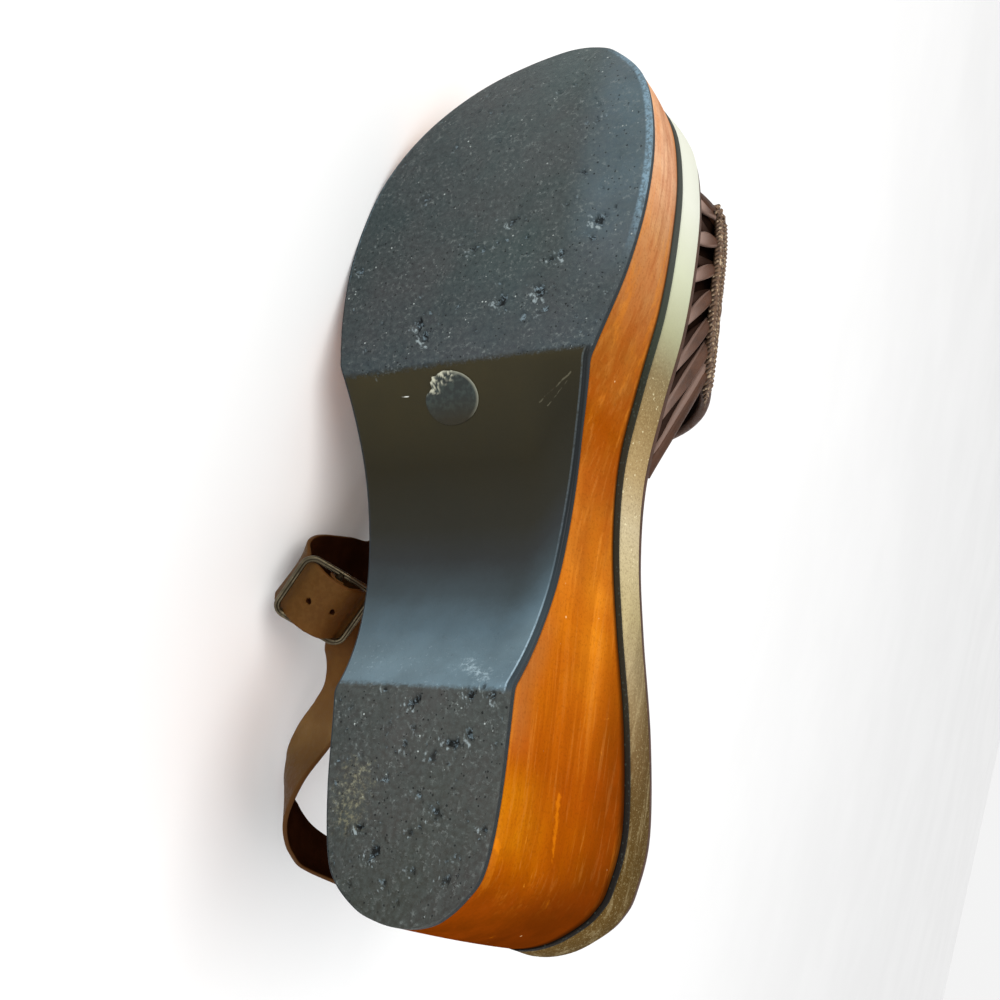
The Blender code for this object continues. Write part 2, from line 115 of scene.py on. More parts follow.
# ---- the vamp; pairs are at its inner and outer side ----
VAMP_WALL, VAMP_INSET = 1.8, 2.6
VAMP_FRONT, VAMP_REAR = (208.0, 190.0), (122.0, 112.0)
VAMP_LEAN, VAMP_MOUTH = 34.0, 14.0
SIDE_SHARE = 0.15
SIDE_RISE, SIDE_LEAN, DOME_POWER = (12.6, 15.0), (3.0, 4.6), (1.15, 0.9)
VAMP_ROWS = ((110.0, 70.0), (125.0, 62.0), (140.0, 54.0), (155.0, 46.0), (170.0, 38.5),
             (185.0, 32.0), (200.0, 27.0), (210.0, 25.0))         # Y and height above the bed
STRIPS, SLOT_SHARE = 7, 0.38

# ---- the straps and the buckle ----
STRAP_WIDTH, STRAP = 17.4, 1.4
BUCKLE_LENGTH, BUCKLE_WIDTH = 21.3, 20.2
WIRE, BAR, FRAME_BEND = 1.05, 0.9, 3.2
BUCKLE_CENTRE = Vector((52.7, 81.2, 22.3))
BUCKLE_ALONG = Vector((-0.56, -0.31, 0.77)).normalized()
FACE = BUCKLE_ALONG.cross(Vector((-0.645, 0.745, -0.18))).normalized()
ACROSS = FACE.cross(BUCKLE_ALONG)
HALF = BUCKLE_LENGTH / 2
# places in the buckle's own frame
HEEL_STRAP_FOLD = ((1.4, 0, 2.2), (0, 0, 2.25), (-1.6, 0, 1.6), (-2.25, 0, 0), (-1.6, 0, -1.6),
                   (0, 0, -2.3), (4.5, -0.3, -3.7), (HALF - 1.5, -1, -5.2))
TAIL_STRAP_PANEL = ((-HALF + 0.4, 1.2, -8.4), (-HALF + 0.3, 0.3, -4), (-HALF + 1.9, 0.2, -2.3),
                    (-HALF + 4.4, 0.2, 1.1), (-2.5, 0.1, 3.6), (3, 0.1, 3.7),
                    (HALF - 4.2, 0.3, 0.8), (HALF - 1.8, 0.1, -2.3), (HALF + 1.4, 0, -2.8))
HOLES = ((-4.2, -0.5), (3.1, 0.5))
# places in the shoe's frame, each with the direction across the strap
HEEL_STRAP_ROUTE = (
    (51.8, 77.2, 38.6, (-0.59, 0.80, -0.13)),
    (54.6, 70.1, 42.1, (-0.64, 0.76, -0.11)),
    (57.3, 61.6, 43.7, (-0.83, 0.52, -0.19)),
    (60.7, 54.4, 44.0, (-0.97, 0.12, -0.20)),
    (65.7, 46.4, 43.8, (-0.92, -0.29, -0.25)),
    (69.5, 37.3, 43.4, (-0.69, -0.58, -0.43)),
    (73.3, 28.2, 46.7, (-0.49, -0.76, -0.42)),
    (75.1, 21.9, 53.8, (-0.35, -0.92, -0.16)),
    (75.2, 16.6, 64.1, (-0.45, -0.72, -0.53)),
    (64.9, 11.0, 76.4, (-0.46, -0.57, -0.68)),
    (50.0, 3.0, 88.0, (-0.25, -0.45, -0.86)),
    (33.0, 0.0, 96.0, (-0.10, -0.20, -0.97)),
    (14.0, 4.0, 100.0, (0, 0, -1)),
    (0.0, 20.0, 100.0, (0, 0, -1)),
    (-4.0, 50.0, 94.0, (0, 0, -1)),
    (-5.0, 85.0, 89.0, (-0.4, 0, -0.9)),
    (-5.5, 110.0, 88.0, (-0.8, 0, -0.6)),
    (-2.0, 127.0, 89.2, (-0.98, 0, -0.2)),
    (3.0, 142.0, 89.4, (-1, 0, 0)),
    (4.0, 152.0, 86.9, (-1, 0, 0)),
    (4.0, 161.0, 81.0, (-1, 0, 0)),
)
TAIL_STRAP_ROUTE = (
    (52.5, 157.0, 60.0, (0, 0, -1)),
    (52.3, 147.0, 60.5, (0, 0, -1)),
    (52.0, 132.0, 61.5, (0, 0.05, -1)),
    (54.5, 115.0, 60.5, (-0.05, 0.20, -0.98)),
    (62.2, 101.9, 53.8, (-0.10, 0.60, -0.79)),
    (61.9, 97.8, 39.0, (-0.27, 0.68, -0.68)),
    (61.6, 94.1, 26.5, (-0.26, 0.86, -0.44)),
)

# ---- marks on the sole: X, Y, radius and depth of each chip in the rubber ----
CHIPS = (
    (-19, 224, 1.1, 0.5), (-27, 190, 1.5, 0.7), (-23, 181, 1.2, 0.5), (-33, 174, 2.2, 1.0),
    (-7, 179, 1.8, 0.8), (-37, 177, 1.2, 0.5), (-31, 169, 1.6, 0.7), (-23, 166, 1.6, 0.6),
    (-20, 165, 1.2, 0.6), (-12, 173, 1.1, 0.5), (-18, 156, 2.4, 0.9), (-7, 155, 2.0, 0.9),
    (-20, 150, 2.0, 0.5), (-14, 149, 1.4, 0.5), (18, 152, 2.2, 1.0), (16, 148, 2.2, 0.9),
    (23, 193, 2.2, 0.4), (16, 210, 1.5, 0.4), (42, 173, 1.4, 0.9), (4, 173, 1.6, 0.5),
    (1, 172, 1.3, 0.5), (-3, 173, 1.1, 0.4), (11, 53, 1.6, 0.7), (2, 50, 2.4, 1.0),
    (-13, 52, 1.8, 0.9), (-16, 54, 1.3, 0.6), (-19, 52, 1.6, 0.7), (-10, 41, 2.6, 1.1),
    (-14, 43, 2.0, 0.9), (3, 40, 1.5, 0.6), (-5, 38, 1.8, 0.6), (1, 44, 1.3, 0.5),
    (12, 21, 1.6, 0.9), (-2, 21, 1.4, 0.7), (7, 16, 2.4, 1.0), (-8, 26, 2.2, 0.7),
    (-3, 29, 1.5, 0.5), (7, 32, 1.5, 0.5), (-13, 12, 1.5, 0.7), (3, 10, 1.2, 0.6),
    (-21, 23, 1.6, 0.7), (-4, 13, 1.4, 0.5),
)
STICKER_CENTRE, STICKER_REACH = (8.0, 131.1), (8.3, 6.0)


# ---- settings ----
def paint(code):
    """A colour from its usual six-digit code, as the linear values that shaders use."""
    shares = [(code >> shift & 255) / 255 for shift in (16, 8, 0)]
    return tuple(s / 12.92 if s <= 0.04045 else ((s + 0.055) / 1.055) ** 2.4 for s in shares)


def length(name, description, default):
    return FloatProperty(name=name, description=description, default=default * MM, min=0.0,
                         subtype="DISTANCE", unit="LENGTH")


def colour(name, description, code):
    return FloatVectorProperty(name=name, description=description, default=paint(code),
                               min=0.0, max=1.0, subtype="COLOR")


class ClogSoleSettings(bpy.types.PropertyGroup):
    tread_radius: length("Tread Edge", "Rounding of the rubber's edge", 0.6)
    # painted reflection: a bluish sheen laid on the tread towards the toe's inner edge
    toe_edge_reflection: colour("Worn Rubber", "The tread at the toe's inner edge", 0x4E6069)
    wood_light: colour("Wood Light", "The stained wood's light grain", 0xD27F1E)
    wood_dark: colour("Wood Dark", "The stained wood's dark grain", 0x7E3603)
    foam_colour: colour("Black Layer", "Dust on the thin black layer", 0x4A544E)
    suede_colour: colour("Tan Suede", "The lit nap of the cushion layer", 0xC9B98A)
    insole_colour: colour("Foot Bed", "The leather foot bed", 0x4A3226)
    small_pits: IntProperty(name="Small Pits", description="Pits scattered over the tread",
                            default=230, min=0, max=2000)


class ClogVampSettings(bpy.types.PropertyGroup):
    strip_width: length("Strip Width", "Width of a side strip at its foot", 4.7)
    leather: colour("Strip Leather", "The woven strips", 0x4D2F1D)
    braid: colour("Braid", "The plaited cord", 0x5A4230)
    braid_glint: colour("Braid Glint", "Its worn pale highlights", 0xC2AC8C)
    rows_along: IntProperty(name="Strips Along", description="Woven strips from toe to throat",
                            default=20, min=4, max=60)
    rows_across: IntProperty(name="Strips Across", description="Woven strips from side to side",
                             default=7, min=2, max=30)


class ClogStrapSettings(bpy.types.PropertyGroup):
    outer: colour("Strap Face", "Dark patches on the strap's face", 0x4A2A0A)
    inner: colour("Strap Back", "The strap's dark lining side", 0x231006)
    cut_edge: colour("Cut Edge", "The strap's raw edges", 0x4E3015)
    hole: length("Hole", "Radius of the punched holes", 0.75)
    brass: colour("Aged Brass", "The buckle's metal", 0x5C5340)


class ClogStageSettings(bpy.types.PropertyGroup):
    lens: FloatProperty(name="Lens", description="Focal length in millimetres",
                        default=39.69, min=10.0, max=200.0)
    key_power: FloatProperty(name="Key Light", description="Power of the large soft light",
                             default=9.0, min=0.0, unit="POWER")
    fill_power: FloatProperty(name="Fill Light", description="Power of the fill light",
                              default=3.0, min=0.0, unit="POWER")
    sky: FloatProperty(name="Room Light", description="Strength of the even room light",
                       default=0.9, min=0.0)


# ---- curves and the sole's outline ----
def limit(value, low=0.0, high=1.0):
    return min(max(value, low), high)


def spline(points, steps, closed=False):
    """A Catmull-Rom curve through points, with steps spans between neighbours."""
    points = np.asarray(points, float)
    count = len(points)

    def at(i):
        return points[i % count if closed else limit(i, 0, count - 1)]

    curve = []
    for i in range(count if closed else count - 1):
        a, b, c, d = (at(i + k) for k in (-1, 0, 1, 2))
        for t in np.arange(steps) / steps:
            curve.append(0.5 * (2 * b + (c - a) * t + (2 * a - 5 * b + 4 * c - d) * t * t
                                + (3 * b - a - 3 * c + d) * t ** 3))
    return np.array(curve if closed else curve + [points[-1]])


def walked(points):
    """The length walked along a line at each of its points."""
    steps = np.linalg.norm(np.diff(points, axis=0), axis=1)
    return np.concatenate([[0.0], np.cumsum(steps)])


def at_walk(walk, gone, values):
    """Values given at the lengths in gone, at other lengths."""
    return np.stack([np.interp(walk, gone, values[:, k]) for k in range(3)], axis=-1)


def outline(flare):
    """The closed outline of the tread (flare 0) or of the foot bed (flare 1)."""
    heel_out, toe_out, toe_in, heel_in = (
        tuple(low + (high - low) * flare for low, high in zip(*pair))
        for pair in (HEEL_ROUND_OUT, TOE_ROUND_OUT, TOE_ROUND_IN, HEEL_ROUND_IN))
    back = (HEEL_TIP[0], HEEL_TIP[1] - flare * HEEL_FLARE)
    front = (TOE_TIP[0], TOE_TIP[1] + flare * TOE_FLARE)
    outer = list(zip(OUTER_HALF + flare * OUTER_FLARE, ROW_Y))
    inner = list(zip(-INNER_HALF - flare * INNER_FLARE, ROW_Y))
    return spline([back, heel_out, *outer, toe_out, front, toe_in, *inner[::-1], heel_in],
                  OUTLINE_STEPS, closed=True)


OUTER, INNER = 1.0, -1.0


def half_outlines(loop):
    """The outline's outer and inner halves as curves of X over Y."""
    loop = np.roll(loop, -int(np.argmin(loop[:, 1])), axis=0)
    tip = int(np.argmax(loop[:, 1]))
    return {OUTER: loop[:tip + 1], INNER: np.vstack([loop[tip:], loop[:1]])[::-1]}


TREAD, BED = half_outlines(outline(0.0)), half_outlines(outline(1.0))
TOP = spline([(HEEL_TIP[1] - HEEL_FLARE, TOP_AT_ENDS[0]), *zip(ROW_Y, ROW_TOP),
              (TOE_TIP[1] + TOE_FLARE, TOP_AT_ENDS[1])], HEIGHT_STEPS)
VAMP_HEIGHT = spline(VAMP_ROWS, HEIGHT_STEPS)


def look_up(curve, y):
    return float(np.interp(y, curve[:, 0], curve[:, 1]))


def edge_x(halves, side, y):
    return float(np.interp(y, halves[side][:, 1], halves[side][:, 0]))


def arch_share(y):
    return (y - HEEL_BREAST) / (BALL_LINE - HEEL_BREAST)


def tread_z(y):
    """Height of the tread's underside: flat heel, arch, flat forefoot and toe spring."""
    w = limit(arch_share(y))
    spring = max(y - TOE_SPRING_START, 0.0) / (TOE_TIP[1] - TOE_SPRING_START)
    return ARCH_RISE * 4 * w * (1 - w) + TOE_SPRING * spring ** 2


def soft_tread_z(y):
    """The same height with both creases of the arch slightly rounded."""
    return sum(tread_z(y + CREASE * k / 3) for k in range(-3, 4)) / 7


def skew(y):
    stations = (HEEL_TIP[1], HEEL_BREAST, BALL_LINE, TOE_TIP[1])
    return float(np.interp(y, stations, (0.0, HEEL_BREAST_SKEW, BALL_LINE_SKEW, 0.0)))


def row_y(share):
    return HEEL_TIP[1] + (TOE_TIP[1] - HEEL_TIP[1]) * share


def corner(halves, side, share, inset=0.0):
    """X and Y where the row at this share of the length meets an outline, drawn in by inset."""
    heel, toe = halves[side][0, 1], halves[side][-1, 1]
    low, high = heel + inset, toe - inset
    start = y = low + (high - low) * share
    for _ in range(4):
        grown = heel + (toe - heel) * ((y - low) / (high - low))
        x = edge_x(halves, side, grown) - side * inset
        if side * (x - edge_x(halves, -side, grown) - side * inset) < 0:
            x = 0.5 * (edge_x(halves, OUTER, grown) + edge_x(halves, INNER, grown))
        y = limit(start + skew(row_y(share)) * x, low, high)
    return x, y


def bed_point(share, side, rise, inset):
    """A point at the foot bed's edge, rise above its top and drawn in by inset."""
    x, y = corner(BED, side, share, inset)
    return Vector((x, y, look_up(TOP, y) + rise))


def wall_point(share, side, rise):
    """A point on the wood's side wall, rise above the tread's underside."""
    foot = Vector((*corner(TREAD, side, share), soft_tread_z(row_y(share))))
    head = bed_point(share, side, -TAN_LAYER - BLACK_LAYER, WOOD_INSET)
    return foot.lerp(head, rise / (head.z - foot.z))


def rubber_depth(share):
    """How thick the outsole is: a little thinner over the arch."""
    w = arch_share(row_y(share))
    return OUTSOLE - ARCH_THINNER * limit(THINNING * w * (1 - w))


def shares(count, dense=0.06):
    """Shares of a length from 0 to 1, even in the middle and close together at both ends."""
    result = []
    for k in range(count + 1):
        u = min(k, count - k) / count
        share = (u * u / (2 * dense) if u < dense else u - dense / 2) / (1 - dense)
        result.append(share if 2 * k <= count else 1 - share)
    return result


# ---- meshes ----
ARC_STEPS = 4
LAYERS = ("push", "edge", "mask")
LOWEST = 0.04                 # how far every piece stays above the floor
SHARP = 50                    # degrees between faces that keep a sharp edge
WELD, SLIVER = 0.002, 0.0005  # points this near are joined, edges this short removed


def rounded_ring(corners, radii, spans):
    """A closed ring through corners, each rounded, with spans[k] cells after corner k."""
    starts, ends = [], []
    count = len(corners)
    for k, point in enumerate(corners):
        for found, other in ((starts, corners[k - 1]), (ends, corners[(k + 1) % count])):
            away = other - point
            found.append(point + away.normalized() * min(radii[k], 0.45 * away.length))
    ring = []
    for k, point in enumerate(corners):
        for step in range(ARC_STEPS + 1):
            t = step / ARC_STEPS
            ring.append(starts[k] * (1 - t) ** 2 + point * 2 * t * (1 - t) + ends[k] * t * t)
        following = starts[(k + 1) % count]
        ring += [ends[k].lerp(following, step / spans[k]) for step in range(1, spans[k])]
    return ring


def ring_places(spans):
    """For each point of such a ring, its side and its share of the way along that side."""
    places = []
    for k, cells in enumerate(spans):
        places += [(k, 0.0)] * (ARC_STEPS + 1)
        places += [(k, step / cells) for step in range(1, cells)]
    return places


def new_skin():
    bm = bmesh.new()
    for name in LAYERS:
        bm.verts.layers.float.new(name)
    return bm


def tube(bm, rings, looped=False, **values):
    """A skin over closed rings of points. values fill the float layers by name."""
    rings = np.asarray(rings, float)
    rows, around = rings.shape[:2]
    along = rows if looped else rows - 1
    made = bmesh.ops.create_grid(bm, x_segments=along, y_segments=around, size=0.5)["verts"]
    layers = {name: bm.verts.layers.float[name] for name in values}
    for vertex in made:
        i = round((vertex.co.x + 0.5) * along) % rows
        j = round((vertex.co.y + 0.5) * around) % around
        vertex.co = rings[i, j]
        for name, layer in layers.items():
            vertex[layer] = values[name][i][j]
    bmesh.ops.remove_doubles(bm, verts=[vertex for vertex in made if vertex.is_boundary],
                             dist=WELD)


def finish_piece(bm, name, material, slot, *nodes):
    """Close a skin's ends and turn it into a finished piece that rides with the shoe."""
    rims = [edge for edge in bm.edges if edge.is_boundary]
    if rims:
        bmesh.ops.holes_fill(bm, edges=rims, sides=0)
    bmesh.ops.dissolve_degenerate(bm, edges=bm.edges, dist=SLIVER)
    bmesh.ops.recalc_face_normals(bm, faces=bm.faces)
    bm.normal_update()
    push = bm.verts.layers.float["push"]
    for vertex, step in [(v, v.normal * v[push]) for v in bm.verts if v[push]]:
        vertex.co += step
    bm.verts.layers.float.remove(push)
    bmesh.ops.transform(bm, matrix=SHOE, verts=bm.verts)
    for vertex in bm.verts:
        vertex.co.z = max(vertex.co.z, LOWEST * MM)
    mesh = bpy.data.meshes.new(name)
    bm.to_mesh(mesh)
    bm.free()
    mesh.shade_smooth()
    mesh.set_sharp_from_angle(angle=radians(SHARP))
    mesh.materials.append(material)
    piece = bpy.data.objects.new(name, mesh)
    bpy.context.scene.collection.objects.link(piece)
    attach(piece, "root")
    if nodes:
        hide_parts(*nodes)


def unit(vectors):
    vectors = np.asarray(vectors, float)
    return vectors / np.maximum(np.linalg.norm(vectors, axis=-1, keepdims=True), 1e-9)


def ribbon_profile(cells, arc=3):
    """Points round a flat strap: signs, the rounded corner's direction and whether it is edge."""
    points = []
    for sx, sy, start in ((1, -1, -90), (1, 1, 0), (-1, 1, 90), (-1, -1, 180)):
        for k in range(arc + 1):
            angle = radians(start + 90 * k / arc)
            points.append((sx, sy, cos(angle), sin(angle), 1.0))
        if sx == sy:
            for k in range(1, cells):
                points.append((sx * (1 - 2 * k / cells), sy, 0.0, float(sy), 0.0))
    return np.array(points)


def ribbon_rings(centres, sides, width, thickness, cells=4, soft=0.42, crown=0.0):
    """Rings of a flat strap along centres, with sides pointing across it."""
    centres, sides = np.asarray(centres, float), np.asarray(sides, float)
    travel = unit(np.gradient(centres, axis=0))
    sides = unit(sides - travel * (sides * travel).sum(-1, keepdims=True))
    ups = np.cross(travel, sides)
    profile = ribbon_profile(cells)
    half, thick = (np.broadcast_to(np.asarray(value, float) / 2, len(centres))[:, None]
                   for value in (width, thickness))
    radius = np.minimum(2 * soft * thick, half)
    across = profile[:, 0] * (half - radius) + radius * profile[:, 2]
    rise = profile[:, 1] * (thick - radius) + radius * profile[:, 3]
    rise = rise + crown * (1 - (across / half) ** 2)
    return centres[:, None] + across[..., None] * sides[:, None] + rise[..., None] * ups[:, None]


def ribbon_layers(count, cells):
    """The edge and back layers that go with such rings."""
    profile = ribbon_profile(cells)
    edge = np.clip(np.abs(profile[:, 2]) * profile[:, 4] * 1.6, 0, 1)
    back = np.where(profile[:, 3] < -0.5, 1.0, 0.0)
    return {"edge": np.tile(edge, (count, 1)), "mask": np.tile(back, (count, 1))}


# ---- shader parts ----
def tint(value):
    """A socket as it is, or a colour or its six-digit code as four values."""
    if isinstance(value, bpy.types.NodeSocket):
        return value
    return (*(paint(value) if isinstance(value, int) else tuple(value)[:3]), 1.0)


def shade(value, amount):
    return tuple(min(1.0, amount * share) for share in value)


class Look:
    """A node tree in the making: each method adds nodes and gives back an output of theirs."""

    def __init__(self, tree, place=None):
        self.tree, self.place, self.base = tree, place, None

    def put(self, kind, inputs=None, **settings):
        """Add a shader node, set it, and link or fill its inputs."""
        item = self.tree.nodes.new("ShaderNode" + kind)
        for key, value in settings.items():
            setattr(item, key, value)
        for key, value in (inputs or {}).items():
            if isinstance(value, bpy.types.NodeSocket):
                self.tree.links.new(value, item.inputs[key])
            else:
                item.inputs[key].default_value = value
        return item

    def math(self, operation, a, b=0.0, clamp=False):
        return self.put("Math", {0: a, 1: b}, operation=operation, use_clamp=clamp).outputs[0]

    def times(self, *values):
        """The product of several masks."""
        total = values[0]
        for value in values[1:]:
            total = self.math("MULTIPLY", total, value)
        return total

    def vector(self, operation, *values, **named):
        item = self.put("VectorMath", {**dict(enumerate(values)), **named}, operation=operation)
        return item.outputs["Value" if operation in ("DOT_PRODUCT", "DISTANCE") else "Vector"]

    def band(self, value, low, high, start=0.0, end=1.0):
        """value from low to high, as a smooth step from start to end."""
        return self.put("MapRange", {"Value": value, "From Min": low, "From Max": high,
                                     "To Min": start, "To Max": end},
                        interpolation_type="SMOOTHSTEP").outputs["Result"]

    def noise(self, scale, detail=2.0, roughness=0.5, place=None):
        return self.put("TexNoise", {"Vector": self.place if place is None else place,
                                     "Scale": scale, "Detail": detail,
                                     "Roughness": roughness}).outputs

    def attribute(self, name):
        return self.put("Attribute", attribute_name=name).outputs["Fac"]

    def ground(self):
        """The X and the Y of each point."""
        return self.put("SeparateXYZ", {0: self.place}).outputs[:2]

    def use(self, group, **inputs):
        """Place one of the effects below."""
        return self.put("Group", {"Vector": self.place, **inputs}, node_tree=group()).outputs

    def mottle(self, scale):
        return self.use(mottle, Scale=scale)["Mask"]

    def specks(self, scale, share, size):
        return self.use(specks, Scale=scale, Share=share, Size=size)["Mask"]

    def marks(self, *lines):
        """The strongest of several scratches, each (from, to, width)."""
        total = None
        for start, end, width in lines:
            mask = self.use(scratch, From=start, To=end, Width=width)["Mask"]
            total = mask if total is None else self.math("MAXIMUM", total, mask)
        return total

    def mixed(self, factor, low, high):
        return self.put("Mix", {0: factor, 6: tint(low), 7: tint(high)},
                        data_type="RGBA").outputs[2]

    def coat(self, colour, *masks):
        """Lay a colour on the base, as far as the product of the masks says."""
        self.base = self.mixed(self.times(*masks), self.base, colour)

    def ramp(self, value, *stops):
        """A colour that changes with value; each stop is a value and a six-digit code."""
        low, high = stops[0][0], stops[-1][0]
        share = self.put("MapRange", {"Value": value, "From Min": low, "From Max": high})
        item = self.put("ValToRGB", {"Fac": share.outputs["Result"]})
        elements = item.color_ramp.elements
        elements[0].color, elements[1].color = tint(stops[0][1]), tint(stops[-1][1])
        for place, code in stops[1:-1]:
            elements.new((place - low) / (high - low)).color = tint(code)
        return item.outputs["Color"]

    def dress(self, roughness=None, height=None, depth=0.1, strength=1.0):
        """Link the base, the roughness and the relief (depth in millimetres) to the shader."""
        self.tree.links.new(self.base, self.shader["Base Color"])
        if roughness is not None:
            self.tree.links.new(roughness, self.shader["Roughness"])
        relief = self.put("Bump", {"Height": height, "Distance": depth * MM,
                                   "Strength": strength})
        self.tree.links.new(relief.outputs["Normal"], self.shader["Normal"])
        return self.material


def new_look(name, roughness=0.5, metallic=0.0, shine=0.5):
    """A new material's look, with a vector of the shoe's own millimetres as its place."""
    material = bpy.data.materials.new(name)
    material.use_nodes = True
    look = Look(material.node_tree)
    look.material = material
    look.shader = material.node_tree.nodes["Principled BSDF"].inputs
    look.shader["Roughness"].default_value = roughness
    look.shader["Metallic"].default_value = metallic
    look.shader["Specular IOR Level"].default_value = shine
    where = look.put("TexCoord").outputs["Object"]
    look.place = look.put("Mapping", {"Vector": where, "Location": SHOE.translation,
                                      "Rotation": SHOE.to_euler(), "Scale": (MM, MM, MM)},
                          vector_type="TEXTURE").outputs["Vector"]
    return look


def effect(name, outputs, **inputs):
    """Turn a function that fills a shader node group into one that builds the group once."""
    def wrap(fill):
        def group():
            tree = bpy.data.node_groups.get(name)
            if tree:
                return tree
            tree = bpy.data.node_groups.new(name, "ShaderNodeTree")
            for label, default in {"Vector": (0, 0, 0), **inputs}.items():
                kind = "Vector" if isinstance(default, tuple) else "Float"
                tree.interface.new_socket(name=label, in_out="INPUT",
                                          socket_type="NodeSocket" + kind
                                          ).default_value = default
            for label in outputs:
                tree.interface.new_socket(name=label, in_out="OUTPUT",
                                          socket_type="NodeSocketFloat")
            given = tree.nodes.new("NodeGroupInput").outputs
            sink = tree.nodes.new("NodeGroupOutput").inputs
            for label, value in zip(outputs, fill(Look(tree, given["Vector"]), given)):
                tree.links.new(value, sink[label])
            return tree
        return group
    return wrap


@effect("Mottle", ("Mask",), Scale=0.1)
def mottle(look, given):
    """Soft patches."""
    return look.band(look.noise(given["Scale"], 4.0, 0.6)["Fac"], 0.32, 0.68),


@effect("Long Grain", ("Mask", "Height"), Scale=0.3)
def long_grain(look, given):
    """Streaks that run along Y, as wood grain does."""
    drawn = look.vector("MULTIPLY", look.place, (1.0, 0.045, 1.0))
    warp = look.noise(0.12, place=drawn)["Color"]
    bent = look.vector("MULTIPLY_ADD", warp, (2.5, 2.5, 2.5), drawn)
    broad = look.noise(given["Scale"], 3.0, 0.55, bent)["Fac"]
    fine = look.noise(look.times(given["Scale"], 6.0), 4.0, 0.7, bent)["Fac"]
    mask = look.math("ADD", look.times(broad, 0.65), look.times(fine, 0.35))
    return look.band(mask, 0.36, 0.64), fine


@effect("Leather Pores", ("Height", "Mask"), Scale=2.0)
def pores(look, given):
    """The fine cells and creases of leather."""
    cells = look.put("TexVoronoi", {"Vector": look.place, "Scale": given["Scale"]},
                     feature="DISTANCE_TO_EDGE").outputs["Distance"]
    folds = look.noise(look.times(given["Scale"], 0.22), 5.0, 0.65)["Fac"]
    height = look.math("ADD", look.times(look.band(cells, 0.0, 0.16), 0.5), folds)
    return height, look.band(folds, 0.35, 0.65)


@effect("Specks", ("Mask",), Scale=0.5, Share=0.3, Size=0.5)
def specks(look, given):
    """Scattered dots: share of the cells that hold one, and the dots' size in a cell."""
    cells = look.put("TexVoronoi", {"Vector": look.place, "Scale": given["Scale"]}).outputs
    split = look.put("SeparateColor", {0: cells["Color"]}).outputs
    chosen = look.math("LESS_THAN", split[0], given["Share"])
    near = look.math("SUBTRACT", look.times(split[1], given["Size"]), cells["Distance"])
    return look.times(look.band(near, 0.0, 0.12), chosen),


@effect("Scratch", ("Mask",), From=(0, 0, 0), To=(0, 1, 0), Width=0.5)
def scratch(look, given):
    """One worn line from a point to another, with a ragged edge."""
    centred = look.vector("SUBTRACT", look.noise(0.6, 3.0)["Color"], (0.5, 0.5, 0.5))
    moved = look.vector("SCALE", centred, Scale=look.times(given["Width"], 2.2))
    place = look.vector("ADD", look.place, moved)
    line = look.vector("SUBTRACT", given["To"], given["From"])
    reach = look.vector("SUBTRACT", place, given["From"])
    share = look.math("DIVIDE", look.vector("DOT_PRODUCT", reach, line),
                      look.vector("DOT_PRODUCT", line, line), clamp=True)
    away = look.vector("DISTANCE", reach, look.vector("SCALE", line, Scale=share))
    return look.band(look.math("DIVIDE", away, given["Width"]), 1.0, 0.25),


